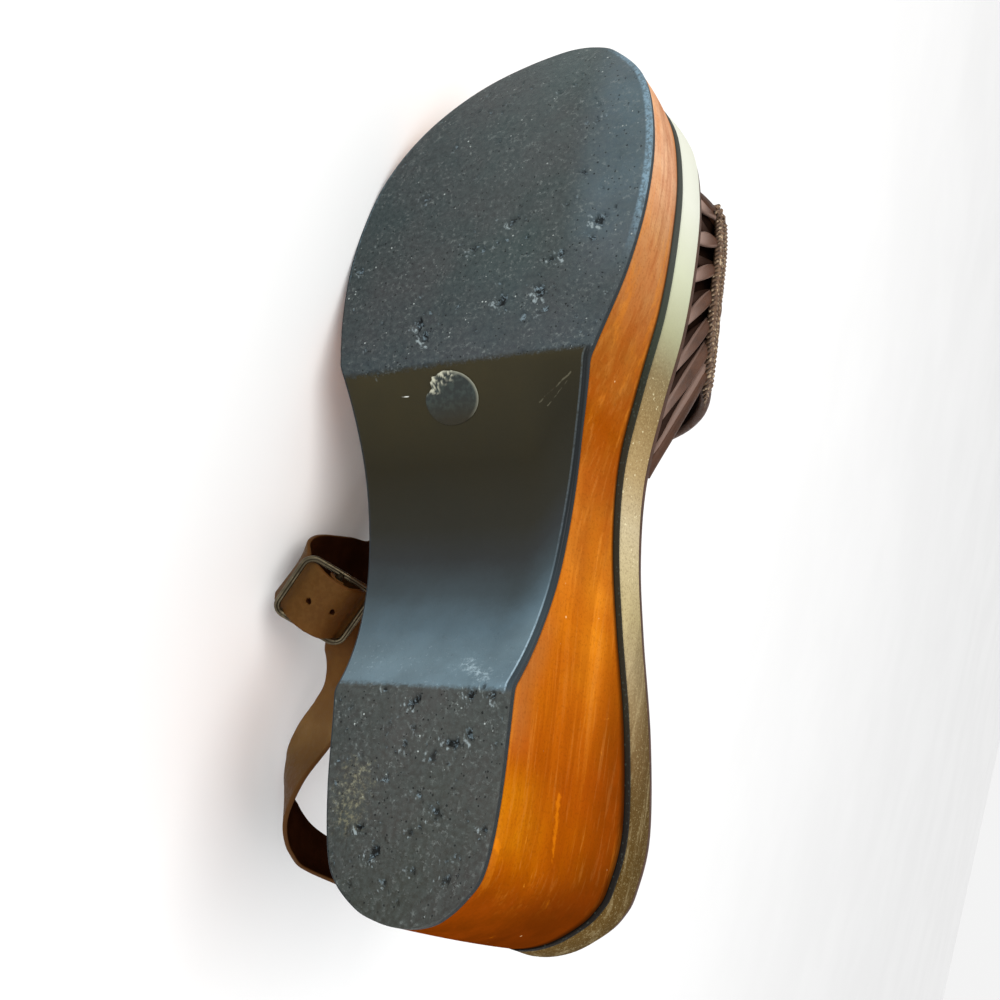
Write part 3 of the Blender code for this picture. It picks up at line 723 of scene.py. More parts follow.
# ---- materials ----
def rubber_material(settings):
    look = new_look("worn rubber", 0.5, shine=0.14)
    band, times, coat = look.band, look.times, look.coat
    x, y = look.ground()
    crust = look.noise(0.75, 6.0, 0.8)["Fac"]
    y = look.math("ADD", y, times(x, -0.03))
    y = look.math("ADD", y, band(crust, 0.35, 0.65, -0.4, 0.4))
    arch = times(band(y, HEEL_BREAST - 0.6, HEEL_BREAST + 1.2),
                 band(y, BALL_LINE + 0.8, BALL_LINE - 0.8))
    broad, scuffed = look.mottle(0.05), look.mottle(0.16)
    dust, holes = look.specks(0.9, 0.16, 0.3), look.specks(1.5, 0.12, 0.5)
    rim, chip = look.attribute("edge"), look.attribute("mask")

    # the worn tread, browner at the heel, with a painted bluish reflection towards the toe's inner
    # edge
    look.base = look.ramp(y, (5.0, 0x2F312B), (25.0, 0x373934), (52.0, 0x3A3D3A),
                          (140.0, 0x333D42), (170.0, 0x303B3B), (240.0, 0x3A4748))
    coat(settings.toe_edge_reflection, band(y, 150.0, 175.0), band(x, -20.0, -34.0), 0.75)
    # painted shade: darker towards the outer side of the forefoot and of the heel
    coat(0x20292C, band(x, -12.0, 30.0), band(y, 120.0, 150.0), 0.6)
    coat(0x222826, band(x, 2.0, 20.0), band(y, 60.0, 40.0), 0.45)
    coat(0x262C2C, broad, 0.3)
    coat(0x453B3C, look.mottle(0.034), 0.3)
    coat(0x56605E, look.mottle(0.7), 0.25)
    coat(0x7B8280, band(crust, 0.52, 0.64), scuffed, 0.55)
    coat(0xB4BDBA, dust, band(scuffed, 0.2, 0.9), 0.85)
    # painted shade: the small pits darkened nearly to black
    coat(0x0D1011, holes, 0.8)
    grime = look.marks(((16, 24, 0), (15, 31, 0), 6.0))
    coat(0x8E8A6C, grime, band(crust, 0.45, 0.62), 0.45)
    # its lit inner edge at the toe
    coat(0x7D9BAD, band(rim, 0.5, 0.7), band(rim, 0.9, 0.84), band(y, 160.0, 185.0),
         band(y, 243.0, 228.0), band(crust, 0.4, 0.58, 0.15, 1.0), 0.7)
    worn = look.base

    # the clean arch, olive black at the ball, with a painted bluish sheen that grows towards the
    # heel and reaches further along the inner edge
    inward = times(band(x, -12.0, -26.0), -12.0)
    look.base = look.ramp(look.math("ADD", y, inward), (44.0, 0x627884), (60.0, 0x60757F),
                          (70.0, 0x4A5D67), (80.0, 0x343F44), (90.0, 0x26292A),
                          (99.0, 0x212018), (115.0, 0x1E1A09), (137.0, 0x302A15))
    coat(0x1A1A12, broad, 0.25)
    coat(0xA9A48A, look.marks(((-17.8, 127.5, 6.7), (-28.0, 132.7, 2.8), 0.3),
                              ((-20.0, 126.5, 7.4), (-26.5, 131.0, 4.0), 0.2)), 0.16)
    coat(0xD9DAD2, look.marks(((21.4, 133.3, 5.4), (26.1, 133.2, 4.9), 0.2)))
    # painted highlights: a pale blue patch and flecks on the arch near the heel breast
    coat(0xA3B7C0, look.marks(((-8.0, 61.0, 4.0), (-15.0, 56.0, 2.0), 2.6)),
         band(crust, 0.45, 0.6), 0.6)
    coat(0x9CB0BA, band(y, 74.0, 56.0), band(crust, 0.58, 0.66), 0.35)
    # painted shade on the facet along its inner edge, and a painted highlight beside it
    coat(0x10161A, band(rim, 0.74, 0.79), 0.8)
    coat(0x9DB4C2, band(rim, 0.64, 0.7), band(rim, 0.79, 0.75), band(y, 88.0, 60.0, 0.12, 1.0),
         arch, band(crust, 0.35, 0.6, 0.35, 1.0), 0.9)

    look.base = look.mixed(arch, worn, look.base)
    coat(0x1B2226, band(rim, 0.86, 0.96), 0.8)
    # the chips: painted shade in the holes, painted highlights inside them, and painted highlights
    # on one side of their lips
    coat(0x0B0D0E, band(chip, 0.1, 0.7, 0.0, 0.85))
    coat(0x8498A2, band(chip, 0.05, 0.4), band(crust, 0.5, 0.6), 0.6)
    coat(0x98A5A8, band(chip, -0.1, -0.6), band(crust, 0.42, 0.56), 0.65)
    height = look.math("SUBTRACT", times(crust, 1.2), holes)
    height = look.math("ADD", height, times(dust, 0.5))
    smooth = times(arch, band(y, 62.0, 82.0, 0.72, 0.96))
    height = times(height, look.math("SUBTRACT", 1.0, smooth))
    return look.dress(band(arch, 0.0, 1.0, 0.6, 0.38), height, 0.3)


def wood_material(settings):
    look = new_look("stained wood", 0.45, shine=0.0)
    band, coat = look.band, look.coat
    y = look.ground()[1]
    climb = look.attribute("mask")
    grain, hairs = look.use(long_grain, Scale=0.1)["Mask"], look.use(long_grain, Scale=0.6)
    look.base = look.ramp(
        y, (-2.0, 0x5E2602), (9.0, 0x783603), (16.0, 0x9A4D01), (38.0, 0x9E4B06),
        (54.0, 0xB25E0A), (76.0, 0xC46E12), (92.0, 0xBC7022), (112.0, 0xA05818),
        (125.0, 0x8C4806), (145.0, 0x9E6226), (173.0, 0xBB895A), (195.0, 0xDCB08C))
    # broad tones: painted shade along the wall's top under the layers above, deepest at the heel;
    # paler at its foot; a painted highlight on the middle of the wall at the waist; lighter low on
    # the wall at the heel
    coat(0x501E01, band(climb, 0.45, 1.0), band(y, 85.0, 45.0), 0.75)
    coat(0x7A3A08, band(climb, 0.62, 1.0), 0.4)
    coat(0xA06A3A, band(climb, 0.2, 0.0), band(y, 85.0, 60.0), band(y, 36.0, 50.0), 0.55)
    coat(0xE08A1C, band(climb, 0.25, 0.5), band(climb, 0.85, 0.6), band(y, 50.0, 72.0),
         band(y, 112.0, 92.0), 0.45)
    coat(0xC67A0A, band(climb, 0.45, 0.1), band(y, 14.0, 24.0), band(y, 42.0, 30.0), 0.6)
    # the grain, and blotches of stain
    drawn = band(y, 4.0, 16.0)
    coat(settings.wood_light, band(grain, 0.5, 1.0), drawn, 0.38)
    coat(settings.wood_dark, band(grain, 0.45, 0.0, 0.0, 0.35))
    coat(0xD89A50, band(hairs["Mask"], 0.7, 1.0), drawn, 0.1)
    coat(settings.wood_dark, look.mottle(0.04), 0.25)
    coat(0xA8480A, look.mottle(0.11), 0.22)
    coat(0x5A2804, band(look.noise(1.3, 4.0, 0.7)["Fac"], 0.5, 0.36, 0.0, 0.22))
    # long pale streaks where the stain ran thin
    coat(0xE08E28, look.marks(((-22.7, 24, 17), (-21.0, 13, 20), 0.5),
                              ((-21.0, 13, 20), (-10.0, 2.4, 41), 0.6),
                              ((-23.5, 37, 16.2), (-22.7, 22, 15.6), 0.35),
                              ((-25.3, 49, 45.6), (-25.1, 43, 46), 0.3),
                              ((-25.4, 63, 38), (-25.2, 57, 38), 0.35),
                              ((-24.3, 57, 25), (-24.3, 51, 27), 0.4),
                              ((-25.8, 56, 47.4), (-25.5, 55, 43.8), 0.3)), 0.45)
    coat(0xD87A0C, look.marks(((-23.9, 34, 27), (-23.1, 22, 28.6), 1.3),
                              ((-23.1, 22, 28.6), (-19.5, 9, 35), 0.8),
                              ((-22.5, 21, 3), (-9.0, 2, 29), 1.6)), 0.5)
    # darker over the upper wall at the heel's back
    coat(0x562203, band(climb, 0.25, 0.6), band(y, 27.0, 8.0), 0.55)
    # painted shade in the groove at the wall's top, under the black layer
    coat(0x2A1002, band(climb, 0.93, 1.0, 0.0, 0.85))
    coat(0xF0C890, look.specks(0.5, 0.05, 0.22), 0.6)
    return look.dress(band(grain, 0.0, 1.0, 0.46, 0.34), hairs["Height"], 0.1, 0.3)


def foam_material(settings):
    look = new_look("black foam", 0.68, shine=0.12)
    fine = look.specks(1.4, 0.5, 0.6)
    look.base = look.ramp(
        look.ground()[1], (20.0, 0x0C0602), (45.0, 0x120C04), (62.0, 0x201A0C),
        (125.0, 0x231E12), (140.0, 0x1E1F14), (154.0, 0x2C3228), (175.0, 0x3A3D38))
    look.coat(settings.foam_colour, fine, 0.2)
    return look.dress(None, fine, 0.1, 0.5)


def suede_material(settings):
    look = new_look("tan suede", 0.85, shine=0.03)
    band, coat = look.band, look.coat
    y = look.ground()[1]
    nap = look.noise(1.5, 6.0, 0.8)["Fac"]
    grain = look.use(long_grain, Scale=0.4)["Mask"]
    # the tan along its length, paled to near white towards the toe as a painted highlight
    look.base = look.ramp(
        y, (5.0, 0x5A4119), (20.0, 0x4E3811), (38.0, 0x5A4321), (46.0, 0x6A5130),
        (54.0, 0x7C6442), (62.0, 0x927C58), (72.0, 0xB2A07A), (84.0, 0xB9A97D),
        (106.0, 0xBDAE8C), (121.0, 0xA48C62), (134.0, 0x8A734C), (146.0, 0x7F7050),
        (157.0, 0xA0A080), (173.0, 0xC0C4AA), (195.0, 0xD3D5C8))
    # darker towards its top at the heel
    coat(0x43300F, look.attribute("mask"), band(y, 100.0, 62.0), 0.75)
    # streaks of wear at the heel, a rough nap up to the toes with painted highlights on its lit
    # tufts, and painted glints as pale specks at the waist
    heel, rough = band(y, 100.0, 70.0), band(y, 160.0, 142.0)
    coat(0x4A3A20, grain, heel, 0.3)
    coat(0xA99A74, band(grain, 0.5, 0.0), heel, 0.3)
    coat(0x6E5A38, band(nap, 0.5, 0.38), rough, 0.45)
    coat(settings.suede_colour, band(nap, 0.52, 0.66), rough, 0.4)
    waist = look.times(band(y, 88.0, 100.0), band(y, 150.0, 138.0), 0.8)
    coat(0xE6DCB4, look.specks(1.1, 0.35, 0.5), band(nap, 0.42, 0.58), waist)
    return look.dress(band(nap, 0.3, 0.7, 0.76, 0.92), nap, 0.3, 0.9)


def leather_material(name, colour, pore=2.2, roughness=0.45, edge_wear_and_sheen=None, shine=0.2):
    """Smooth leather with pores, softer dark creases and paler worn edges; on the side strips the
    same paler colour is also a painted highlight on their faces.
    """
    look = new_look(name, roughness, shine=shine)
    skin = look.use(pores, Scale=pore)
    look.base = look.mixed(look.mottle(0.12), shade(colour, 0.6), colour)
    look.coat(shade(colour, 1.3), skin["Mask"], 0.25)
    # paler at worn edges, and on the side strips' faces as a painted highlight
    look.coat(edge_wear_and_sheen or shade(colour, 1.9),
              look.band(look.attribute("edge"), 0.1, 1.0, 0.0, 0.75 if edge_wear_and_sheen else 0.4))
    rough = look.band(skin["Mask"], 0.0, 1.0, roughness - 0.06, roughness + 0.1)
    return look.dress(rough, skin["Height"], 0.12, 0.55)


def strap_material(settings):
    """Strap leather: brown face, dark back, pale cut edges, and punched holes darkened with painted
    shade.
    """
    look = new_look("strap leather", 0.5)
    skin = look.use(pores, Scale=2.6)
    tone, side = look.mottle(0.09), look.attribute("mask")
    behind = look.band(side, 0.4, 0.6)
    look.base = look.ramp(look.ground()[1], (28.0, 0x4C3010), (40.0, 0x59401E),
                          (50.0, 0x745832), (64.0, 0x65431B), (76.0, 0x4C300F),
                          (100.0, 0x48300F))
    look.coat(settings.outer, look.band(tone, 0.0, 1.0, 0.3, 0.0))
    look.coat(0x7A5A34, look.band(skin["Mask"], 0.2, 1.0, 0.0, 0.1))
    look.coat(look.mixed(tone, shade(settings.inner, 0.7), shade(settings.inner, 1.3)), behind)
    look.coat(settings.cut_edge, look.attribute("edge"), 0.5)
    # painted shade in the punched holes
    look.coat(0x1E0B04, look.band(side, 1.4, 1.7))
    look.tree.links.new(look.band(side, 0.4, 0.6, 0.07, 0.0), look.shader["Specular IOR Level"])
    return look.dress(look.band(skin["Mask"], 0.0, 1.0, 0.42, 0.6), skin["Height"], 0.1, 0.6)


def braid_material(settings):
    look = new_look("plaited cord", 0.4, shine=0.3)
    raised = look.attribute("mask")
    # painted shade on the strands' faces turned in towards the vamp
    look.base = look.mixed(raised, shade(settings.braid, 0.25), settings.braid)
    look.coat(0x7E644A, raised, look.band(look.mottle(0.6), 0.2, 1.0, 0.0, 0.6))
    # painted glints: pale highlight specks on the strands' raised faces
    look.coat(settings.braid_glint, raised, look.specks(1.3, 0.55, 0.7), 0.75)
    return look.dress(None, look.noise(3.0, 3.0)["Fac"], 0.12, 0.6)


def brass_material(settings):
    look = new_look("aged brass", 0.34, 0.9)
    tone, grime = look.mottle(0.35), look.specks(1.2, 0.4, 0.6)
    look.base = look.mixed(tone, shade(settings.brass, 0.6), settings.brass)
    look.coat(0x241E14, grime, 0.4)
    look.coat(0x16110A, look.attribute("mask"), 0.85)
    return look.dress(look.band(tone, 0.0, 1.0, 0.42, 0.26), grime, 0.05, 0.4)


def film_material():
    """A thin grey film on the rubber, pale where it has ripped, with a painted highlight along one
    side of its rim, and lost below.
    """
    look = new_look("thin film", 0.35, shine=0.2)
    wrinkle = look.noise(0.7, 3.0)["Fac"]
    look.base = look.mixed(look.band(wrinkle, 0.4, 0.7), 0x232826, 0x303834)
    look.coat(0x231F12, look.attribute("edge"))
    look.coat(0xB4B39E, look.attribute("mask"))
    return look.dress(None, wrinkle, 0.15, 0.4)


def thread_material():
    look = new_look("brown thread", 0.7)
    look.base = look.mixed(look.mottle(0.9), 0x2E1D12, 0x5A3F28)
    return look.dress(None, look.noise(5.0)["Fac"], 0.08, 0.6)


def floor_material():
    look = new_look("pale floor", 0.6)
    look.base = look.mixed(look.mottle(0.004), (0.90, 0.90, 0.90), (0.93, 0.93, 0.93))
    return look.dress(None, look.noise(0.4)["Fac"], 0.05, 0.1)


# ---- the sole ----
HEEL_CHIPS = 0.85             # how much smaller the chips are at the heel
CHIP_REACH = 4.0              # chips further away than this leave a point as it is
CHIP_LIP, LIP_RISE = 1.5, 0.25
RAGGED = 0.7                  # how far a chip's outline strays from an oval
PITS_AT_HEEL = 0.3            # the share of the small pits that are on the heel
HEEL_PITS_X, FRONT_PITS_X = (-23, 26), (-42, 44)
# the tread's edge value: how far in from its inner edge it reaches, and its highest value
RIM_REACH, RIM_TOP = 4.0, 0.8
RUBBER_ROWS, RUBBER_CELLS, LAYER_ROWS, BED_ROWS, BED_CELLS = 370, 132, 260, 240, 40
# the foot bed's pressed line and hollow: depth, share of the width at its start, and width
PRINT_LINE, PRINT_HOLLOW = (0.5, 0.06, 0.03), (0.6, 0.1, 0.2)


def sole_layer(name, material, slot, node, foot, head, rows, spans, radii, finish):
    """One layer of the sole between two edge functions of (share, side).

    finish gives each point's push outwards, its mask and its edge value."""
    rings = np.array([rounded_ring((head(share, INNER), foot(share, INNER), foot(share, OUTER),
                                    head(share, OUTER)), radii, spans)
                      for share in shares(rows)])
    values = np.zeros((3,) + rings.shape[:2])
    for j, place in enumerate(ring_places(spans)):
        for i, ring in enumerate(rings):
            values[:, i, j] = finish(place, ring[j])
    bm = new_skin()
    tube(bm, rings, push=values[0], mask=values[1], edge=values[2])
    finish_piece(bm, name, material, slot, node)


def at_wall(rise):
    return lambda share, side: wall_point(share, side, rise(share))


def at_bed(rise, inset):
    return lambda share, side: bed_point(share, side, rise, inset)


def bulged(amount):
    """Push both walls out by amount in their middle, and mark the share of the way up."""
    def finish(place, point):
        side, share = place
        push = amount * 4 * share * (1 - share) if side in (0, 2) else 0.0
        return push, (1 - share, 0.0, share, 1.0)[side], 0.0
    return finish


def foot_print(place, point):
    """A pressed line inside the foot bed's edge and a slight hollow inside it."""
    side, share = place
    across = min(share, 1 - share)
    if side != 3:
        return 0.0, 0.0, 0.0
    depth, start, width = PRINT_LINE
    line = depth * max(0.0, 1 - abs(across - start) / width)
    depth, start, width = PRINT_HOLLOW
    return -line - depth * limit((across - start) / width), 0.0, 0.0


def rubber_wear(settings):
    """Chips and pits in the tread, the masks for the painted shade and highlights in and beside
    them, and how near its inner edge is.
    """
    draw = random.Random(4)
    chips = [(x, y, (1.0 if y > BALL_LINE else HEEL_CHIPS) * r, d, draw.uniform(0, pi),
              draw.uniform(0.5, 0.9)) for x, y, r, d in CHIPS]
    for _ in range(settings.small_pits):
        heel = draw.random() < PITS_AT_HEEL
        y = draw.uniform(3, 52) if heel else 139 + 100 * draw.random() ** 1.5
        x = draw.uniform(*(HEEL_PITS_X if heel else FRONT_PITS_X))
        chips.append((x, y, draw.uniform(0.6, 1.1), draw.uniform(0.15, 0.45),
                      draw.uniform(0, pi), draw.uniform(0.35, 0.9)))
    chips = np.array(chips)

    def finish(place, point):
        side, share = place
        if side != 1 or share <= 0.0:
            return 0.0, 0.0, (1.0, 0.8, 1.0, 0.0)[side]
        x, y, _ = point
        rim = max(0.0, 1 - (x - edge_x(TREAD, INNER, y)) / RIM_REACH)
        near = chips[(np.abs(chips[:, :2] - (x, y)) < CHIP_REACH).all(axis=1)]
        ragged = noise.noise(Vector((x, y, 0)) * 0.8) + 0.5 * noise.noise(
            Vector((x, y, 5)) * 1.9)
        depth = mark = lip_highlight = 0.0
        for cx, cy, radius, deep, turn, flat in near:
            dx, dy = x - cx, y - cy
            u = (dx * cos(turn) + dy * sin(turn)) / radius
            v = (dy * cos(turn) - dx * sin(turn)) / (radius * flat)
            gone = (u * u + v * v) ** 0.5 * (1 + RAGGED * ragged)
            if gone < 1.0:
                depth = max(depth, deep * (1 - gone ** 3))
                mark = max(mark, min(deep, 1.0) * (1 - gone ** 2))
            elif gone < CHIP_LIP:
                lip = deep * sin((gone - 1) / (CHIP_LIP - 1) * pi)
                depth = depth or -LIP_RISE * lip
                # a painted highlight on one side of each chip's lip
                lip_highlight = max(lip_highlight, lip * min(1.0, (dx - dy) / radius))
        wave = 0.05 * noise.noise(Vector((x, y, 0)) * 0.12)
        return -depth + wave, mark or -lip_highlight, min(rim, RIM_TOP)
    return finish


class CLOG_OT_outsole(bpy.types.Operator):
    """Build the chipped rubber outsole with its arch"""
    bl_idname = "clog.outsole"
    bl_label = "Outsole"

    def execute(self, context):
        settings = context.scene.clog_sole
        radius = settings.tread_radius / MM
        sole_layer("outsole_detail", rubber_material(settings), "outsole_rubber", "outsole",
                   at_wall(lambda share: 0.0), at_wall(lambda share: rubber_depth(share) - GAP),
                   RUBBER_ROWS, (2, RUBBER_CELLS, 2, 2), (0.3, radius, radius, 0.3),
                   rubber_wear(settings))
        return {"FINISHED"}


class CLOG_OT_sole_layers(bpy.types.Operator):
    """Build the wood platform, the black layer, the tan suede layer and the foot bed"""
    bl_idname = "clog.sole_layers"
    bl_label = "Sole Layers"

    def execute(self, context):
        settings = context.scene.clog_sole
        under = -TAN_LAYER - BLACK_LAYER
        sole_layer("wood_platform_detail", wood_material(settings), "stained_wood",
                   "wood_platform", at_wall(rubber_depth), at_bed(under, WOOD_INSET),
                   LAYER_ROWS, (14, 3, 14, 3), (0.5, 0.4, 0.4, 0.5), bulged(0.35))
        sole_layer("black_layer_detail", foam_material(settings), "black_leather",
                   "black_layer", at_bed(GAP + under, BLACK_INSET),
                   at_bed(-TAN_LAYER, BLACK_INSET), LAYER_ROWS, (3, 3, 3, 3),
                   (0.6, 0.6, 0.6, 0.6), bulged(0.25))
        sole_layer("tan_midsole_detail", suede_material(settings), "tan_suede", "tan_midsole",
                   at_bed(GAP - TAN_LAYER, BLACK_INSET), at_bed(0.0, 0.0), LAYER_ROWS,
                   (8, 3, 8, 3), (1.4, 0.9, 0.9, 1.4), bulged(0.4))
        sole_layer("insole_detail",
                   leather_material("foot bed leather", settings.insole_colour, 1.5, 0.5),
                   "insole_leather", "insole", at_bed(GAP, INSOLE_INSET),
                   at_bed(GAP + INSOLE, INSOLE_INSET), BED_ROWS, (2, 3, 2, BED_CELLS),
                   (0.8, 0.5, 0.5, 0.8), foot_print)
        return {"FINISHED"}


# ---- the vamp: places on it are shares across, from the inner foot, and along, from the front ----
DOME_SHARE = 1 - 2 * SIDE_SHARE
WEAVE_STEPS, WEAVE_FILL, WEAVE_RISE, WEAVE_LEATHER = 6, 0.92, 0.62, 1.1
RIM_WIDTH, RIM_DEPTH, RIM_STEPS = 3.6, 3.2, 150
SHADE_SHEET_ROWS, SHADE_SHEET_CELLS = 90, 14
SHADE_SHEET_DEPTH, SHADE_SHEET_DEEPER = 1.25, 1.6  # behind the wall, and further in at its feet
STRIP_THICK, STRIP_CELLS, STRIP_STEPS = 1.4, 6, 18
# how far the side strips differ in lean, turn and width
LEAN_SPREAD, TURN_SPREAD, WIDTH_SPREAD = (0.6, 1.6), (0.8, 1.2), (0.88, 1.12)
LAST_WIDTH, REAR_NARROWER = 0.72, 0.36   # the last strip's, and how strips narrow rearwards
PLAIT, PLAIT_STEPS = 4.3, 12             # length of one turn of the plaited cord
STRAND, STRAND_DEPTH, PLAIT_SWING, PLAIT_RISE = 2.1, 1.3, 1.85, 0.6


def blend(pair, share):
    return pair[0] + (pair[1] - pair[0]) * share


def vamp_y(across, along):
    front = blend(VAMP_FRONT, across) - VAMP_MOUTH * sin(pi * limit(across)) ** 2.4
    climb = min(min(across, 1 - across) / SIDE_SHARE, 1.0)
    return blend((front, blend(VAMP_REAR, across) + VAMP_LEAN * climb), along)


def vamp_point(across, along):
    """The middle of the vamp's wall: two leaning sides and a low dome between them."""
    y = vamp_y(across, along)
    outer = edge_x(BED, OUTER, y) - VAMP_INSET
    inner = edge_x(BED, INNER, y) + VAMP_INSET
    middle, half = 0.5 * (outer + inner), 0.5 * (outer - inner)
    base = look_up(TOP, y) + GAP + INSOLE + GAP + VAMP_WALL / 4
    over = (across - SIDE_SHARE) / DOME_SHARE
    rise, lean, power = (blend(pair, limit(over)) for pair in (SIDE_RISE, SIDE_LEAN, DOME_POWER))
    climb = min(across, 1 - across) / SIDE_SHARE
    if climb <= 1.0:
        side = INNER if across < 0.5 else OUTER
        return Vector((middle + side * (half + lean * sin(climb * pi / 2)), y,
                       base + rise * climb))
    turn = pi * (1 - over)
    reach = (half + lean) * abs(cos(turn)) ** 0.8
    return Vector((middle + (reach if cos(turn) > 0 else -reach), y,
                   base + rise + (look_up(VAMP_HEIGHT, y) - rise) * sin(turn) ** power))


def vamp_out(across, along, step=0.004):
    """The direction out of the vamp's wall."""
    right = vamp_point(across + step, along) - vamp_point(across - step, along)
    back = vamp_point(across, along + step) - vamp_point(across, along - step)
    return back.cross(right).normalized()


def on_vamp(path, rise=0.0):
    """Points and outward directions along a path of (across, along), with rises."""
    rises = np.broadcast_to(np.asarray(rise, float), len(path))
    outs = np.array([vamp_out(*place) for place in path])
    return np.array([vamp_point(*place) for place in path]) + outs * rises[:, None], outs


def vamp_ribbon(bm, path, width, thickness, rise=0.0, cells=4, twist=None, crown=0.15,
                painted_sheen=0.0):
    """A flat strip that follows the vamp's wall; the last argument marks where its face is painted
    paler as a highlight.
    """
    centres, outs = on_vamp(path, rise)
    travel = unit(np.gradient(centres, axis=0))
    sides = np.cross(outs, travel)
    if twist is not None:
        angle = np.asarray(twist)[:, None]
        sides = sides * np.cos(angle) + np.cross(travel, sides) * np.sin(angle)
    rings = ribbon_rings(centres, sides, width, thickness, cells, crown=crown)
    values = ribbon_layers(len(rings), cells)
    shown = np.broadcast_to(np.asarray(painted_sheen, float), len(rings))[:, None]
    values["edge"] = np.maximum(0.6 * values["edge"], shown * (1 - values["mask"]))
    tube(bm, rings, **values)


def finish_vamp(bm, name, material):
    finish_piece(bm, name, material, "woven_leather", "woven_vamp")


class CLOG_OT_vamp_weave(bpy.types.Operator):
    """Build the close weave over the toes, a dark sheet of painted shade behind it, and its two
    rims
    """
    bl_idname = "clog.vamp_weave"
    bl_label = "Vamp Weave"

    def execute(self, context):
        settings = context.scene.clog_vamp
        count, rows = settings.rows_along, settings.rows_across
        bm = new_skin()

        def weave(path, sway, before, after):
            """One strip; before and after give the middles of the gaps at its two sides."""
            width = [WEAVE_FILL * (vamp_point(*after(*place)) - vamp_point(*before(*place))
                                   ).length for place in path]
            vamp_ribbon(bm, path, width, WEAVE_LEATHER, [sway(*place) for place in path])

        for i in range(count):
            across = SIDE_SHARE + DOME_SHARE * (i + 0.5) / count
            reach = DOME_SHARE / count / 2
            weave([(across, 0.01 + 0.98 * k / (rows * WEAVE_STEPS))
                   for k in range(rows * WEAVE_STEPS + 1)],
                  lambda a, s: WEAVE_RISE * sin(pi * s * rows + pi * i),
                  lambda a, s: (a - reach, s), lambda a, s: (a + reach, s))
        for j in range(rows):
            reach = 0.5 / rows
            weave([(SIDE_SHARE + DOME_SHARE * k / (count * WEAVE_STEPS), (j + 0.5) / rows)
                   for k in range(count * WEAVE_STEPS + 1)],
                  lambda a, s: -WEAVE_RISE * sin(pi * (a - SIDE_SHARE) / DOME_SHARE * count
                                                 + pi * j),
                  lambda a, s: (a, s - reach), lambda a, s: (a, s + reach))
        finish_vamp(bm, "vamp_weave",
                    leather_material("woven leather", settings.leather, 2.4, 0.42))

        # a dark sheet just inside the wall: painted shade seen through the gaps between the strips
        bm = new_skin()
        rings = []
        for k in range(SHADE_SHEET_ROWS + 1):
            across = 0.004 + 0.992 * k / SHADE_SHEET_ROWS
            deeper = 1 - min(1.0, min(across, 1 - across) / SIDE_SHARE)
            depth = SHADE_SHEET_DEPTH + SHADE_SHEET_DEEPER * min(1.0, 4 * deeper)
            outer, outs = on_vamp(
                [(across, 0.01 + 0.98 * s / SHADE_SHEET_CELLS) for s in range(SHADE_SHEET_CELLS + 1)],
                [-depth * min(1.0, 0.15 + s / 3) for s in range(SHADE_SHEET_CELLS + 1)])
            rings.append(np.vstack([outer, (outer - 0.5 * outs)[::-1]]))
        tube(bm, rings)
        finish_vamp(bm, "vamp_shade_sheet", leather_material(
            "vamp shade sheet", shade(settings.leather, 0.14), 1.8, 0.7, shine=0.05))

        leather = leather_material("rim leather", shade(settings.leather, 0.8), 2.4, 0.4)
        for name, along in (("vamp_front_rim", 0.02), ("vamp_rear_rim", 0.98)):
            bm = new_skin()
            vamp_ribbon(bm, [(k / RIM_STEPS, along) for k in range(RIM_STEPS + 1)],
                        RIM_WIDTH, RIM_DEPTH, crown=0.0)
            finish_vamp(bm, name, leather)
        return {"FINISHED"}


def braid_place(along):
    """How far round the vamp the plaited cord lies, from either side's foot."""
    return SIDE_SHARE - 0.026 + 0.06 * limit((along - 0.4) / 0.6) ** 2


class CLOG_OT_vamp_sides(bpy.types.Operator):
    """Build the open leather strips down both sides of the vamp"""
    bl_idname = "clog.vamp_sides"
    bl_label = "Side Strips"

    def execute(self, context):
        settings = context.scene.clog_vamp
        # the side strips' leather, its pale colour for worn edges and for the painted highlight on
        # their faces
        leather = leather_material("side strip leather", settings.leather, 2.4, 0.4,
                                   edge_wear_and_sheen=0xA68C80, shine=0.3)
        # the under strips: a copy of the strip leather darkened as painted shade, with a weaker
        # painted highlight
        dark = leather_material("shaded under strip leather", shade(settings.leather, 0.2), 2.4, 0.6,
                                edge_wear_and_sheen=0x3E2C24, shine=0.06)
        pitch = 1.0 / (STRIPS - SLOT_SHARE)
        share = np.linspace(0.0, 1.0, STRIP_STEPS + 1)
        for name, material, shift, sway, rise, twist, wide in (
                ("vamp_side_strips", leather, 0.0, -0.3, 0.0, 62.0, 1.0),
                ("vamp_under_strips", dark, 0.5, 0.35, -1.3, 46.0, 0.85)):
            bm = new_skin()
            draw = random.Random(7)
            for side in (INNER, OUTER):
                for strip in range(-1, STRIPS):
                    start = pitch * (strip + 0.5 * (1 - SLOT_SHARE) + shift)
                    if not 0.01 < start < 0.97:
                        continue
                    last = start > 0.9
                    lean = sway * pitch * draw.uniform(*LEAN_SPREAD)
                    along = np.clip(start + lean * share, 0.02, 0.99)
                    climb = share * (braid_place(along[-1]) + 0.01)
                    across = climb if side == INNER else 1 - climb
                    turn = radians(twist * draw.uniform(*TURN_SPREAD))
                    turn = side * turn * (share ** 1.3 - 0.3)
                    width = settings.strip_width / MM * wide * draw.uniform(*WIDTH_SPREAD)
                    width = width * (LAST_WIDTH if last else 1.0) * (1 - REAR_NARROWER * start)
                    width = width * (0.4 + 0.68 * np.sin(pi * (0.12 + 0.83 * share)) ** 0.8)
                    # painted highlight near each strip's foot, fading towards the rear; the last
                    # strip gets it all along
                    painted_sheen = np.clip(1 - 1.4 * share, 0, 1) ** 1.3 * (1 - 0.55 * start)
                    vamp_ribbon(bm, list(zip(across, along)), width, STRIP_THICK,
                                rise * np.sin(pi * share), STRIP_CELLS, turn, 0.4,
                                painted_sheen=0.5 if last else painted_sheen)
            finish_vamp(bm, name, material)
        return {"FINISHED"}


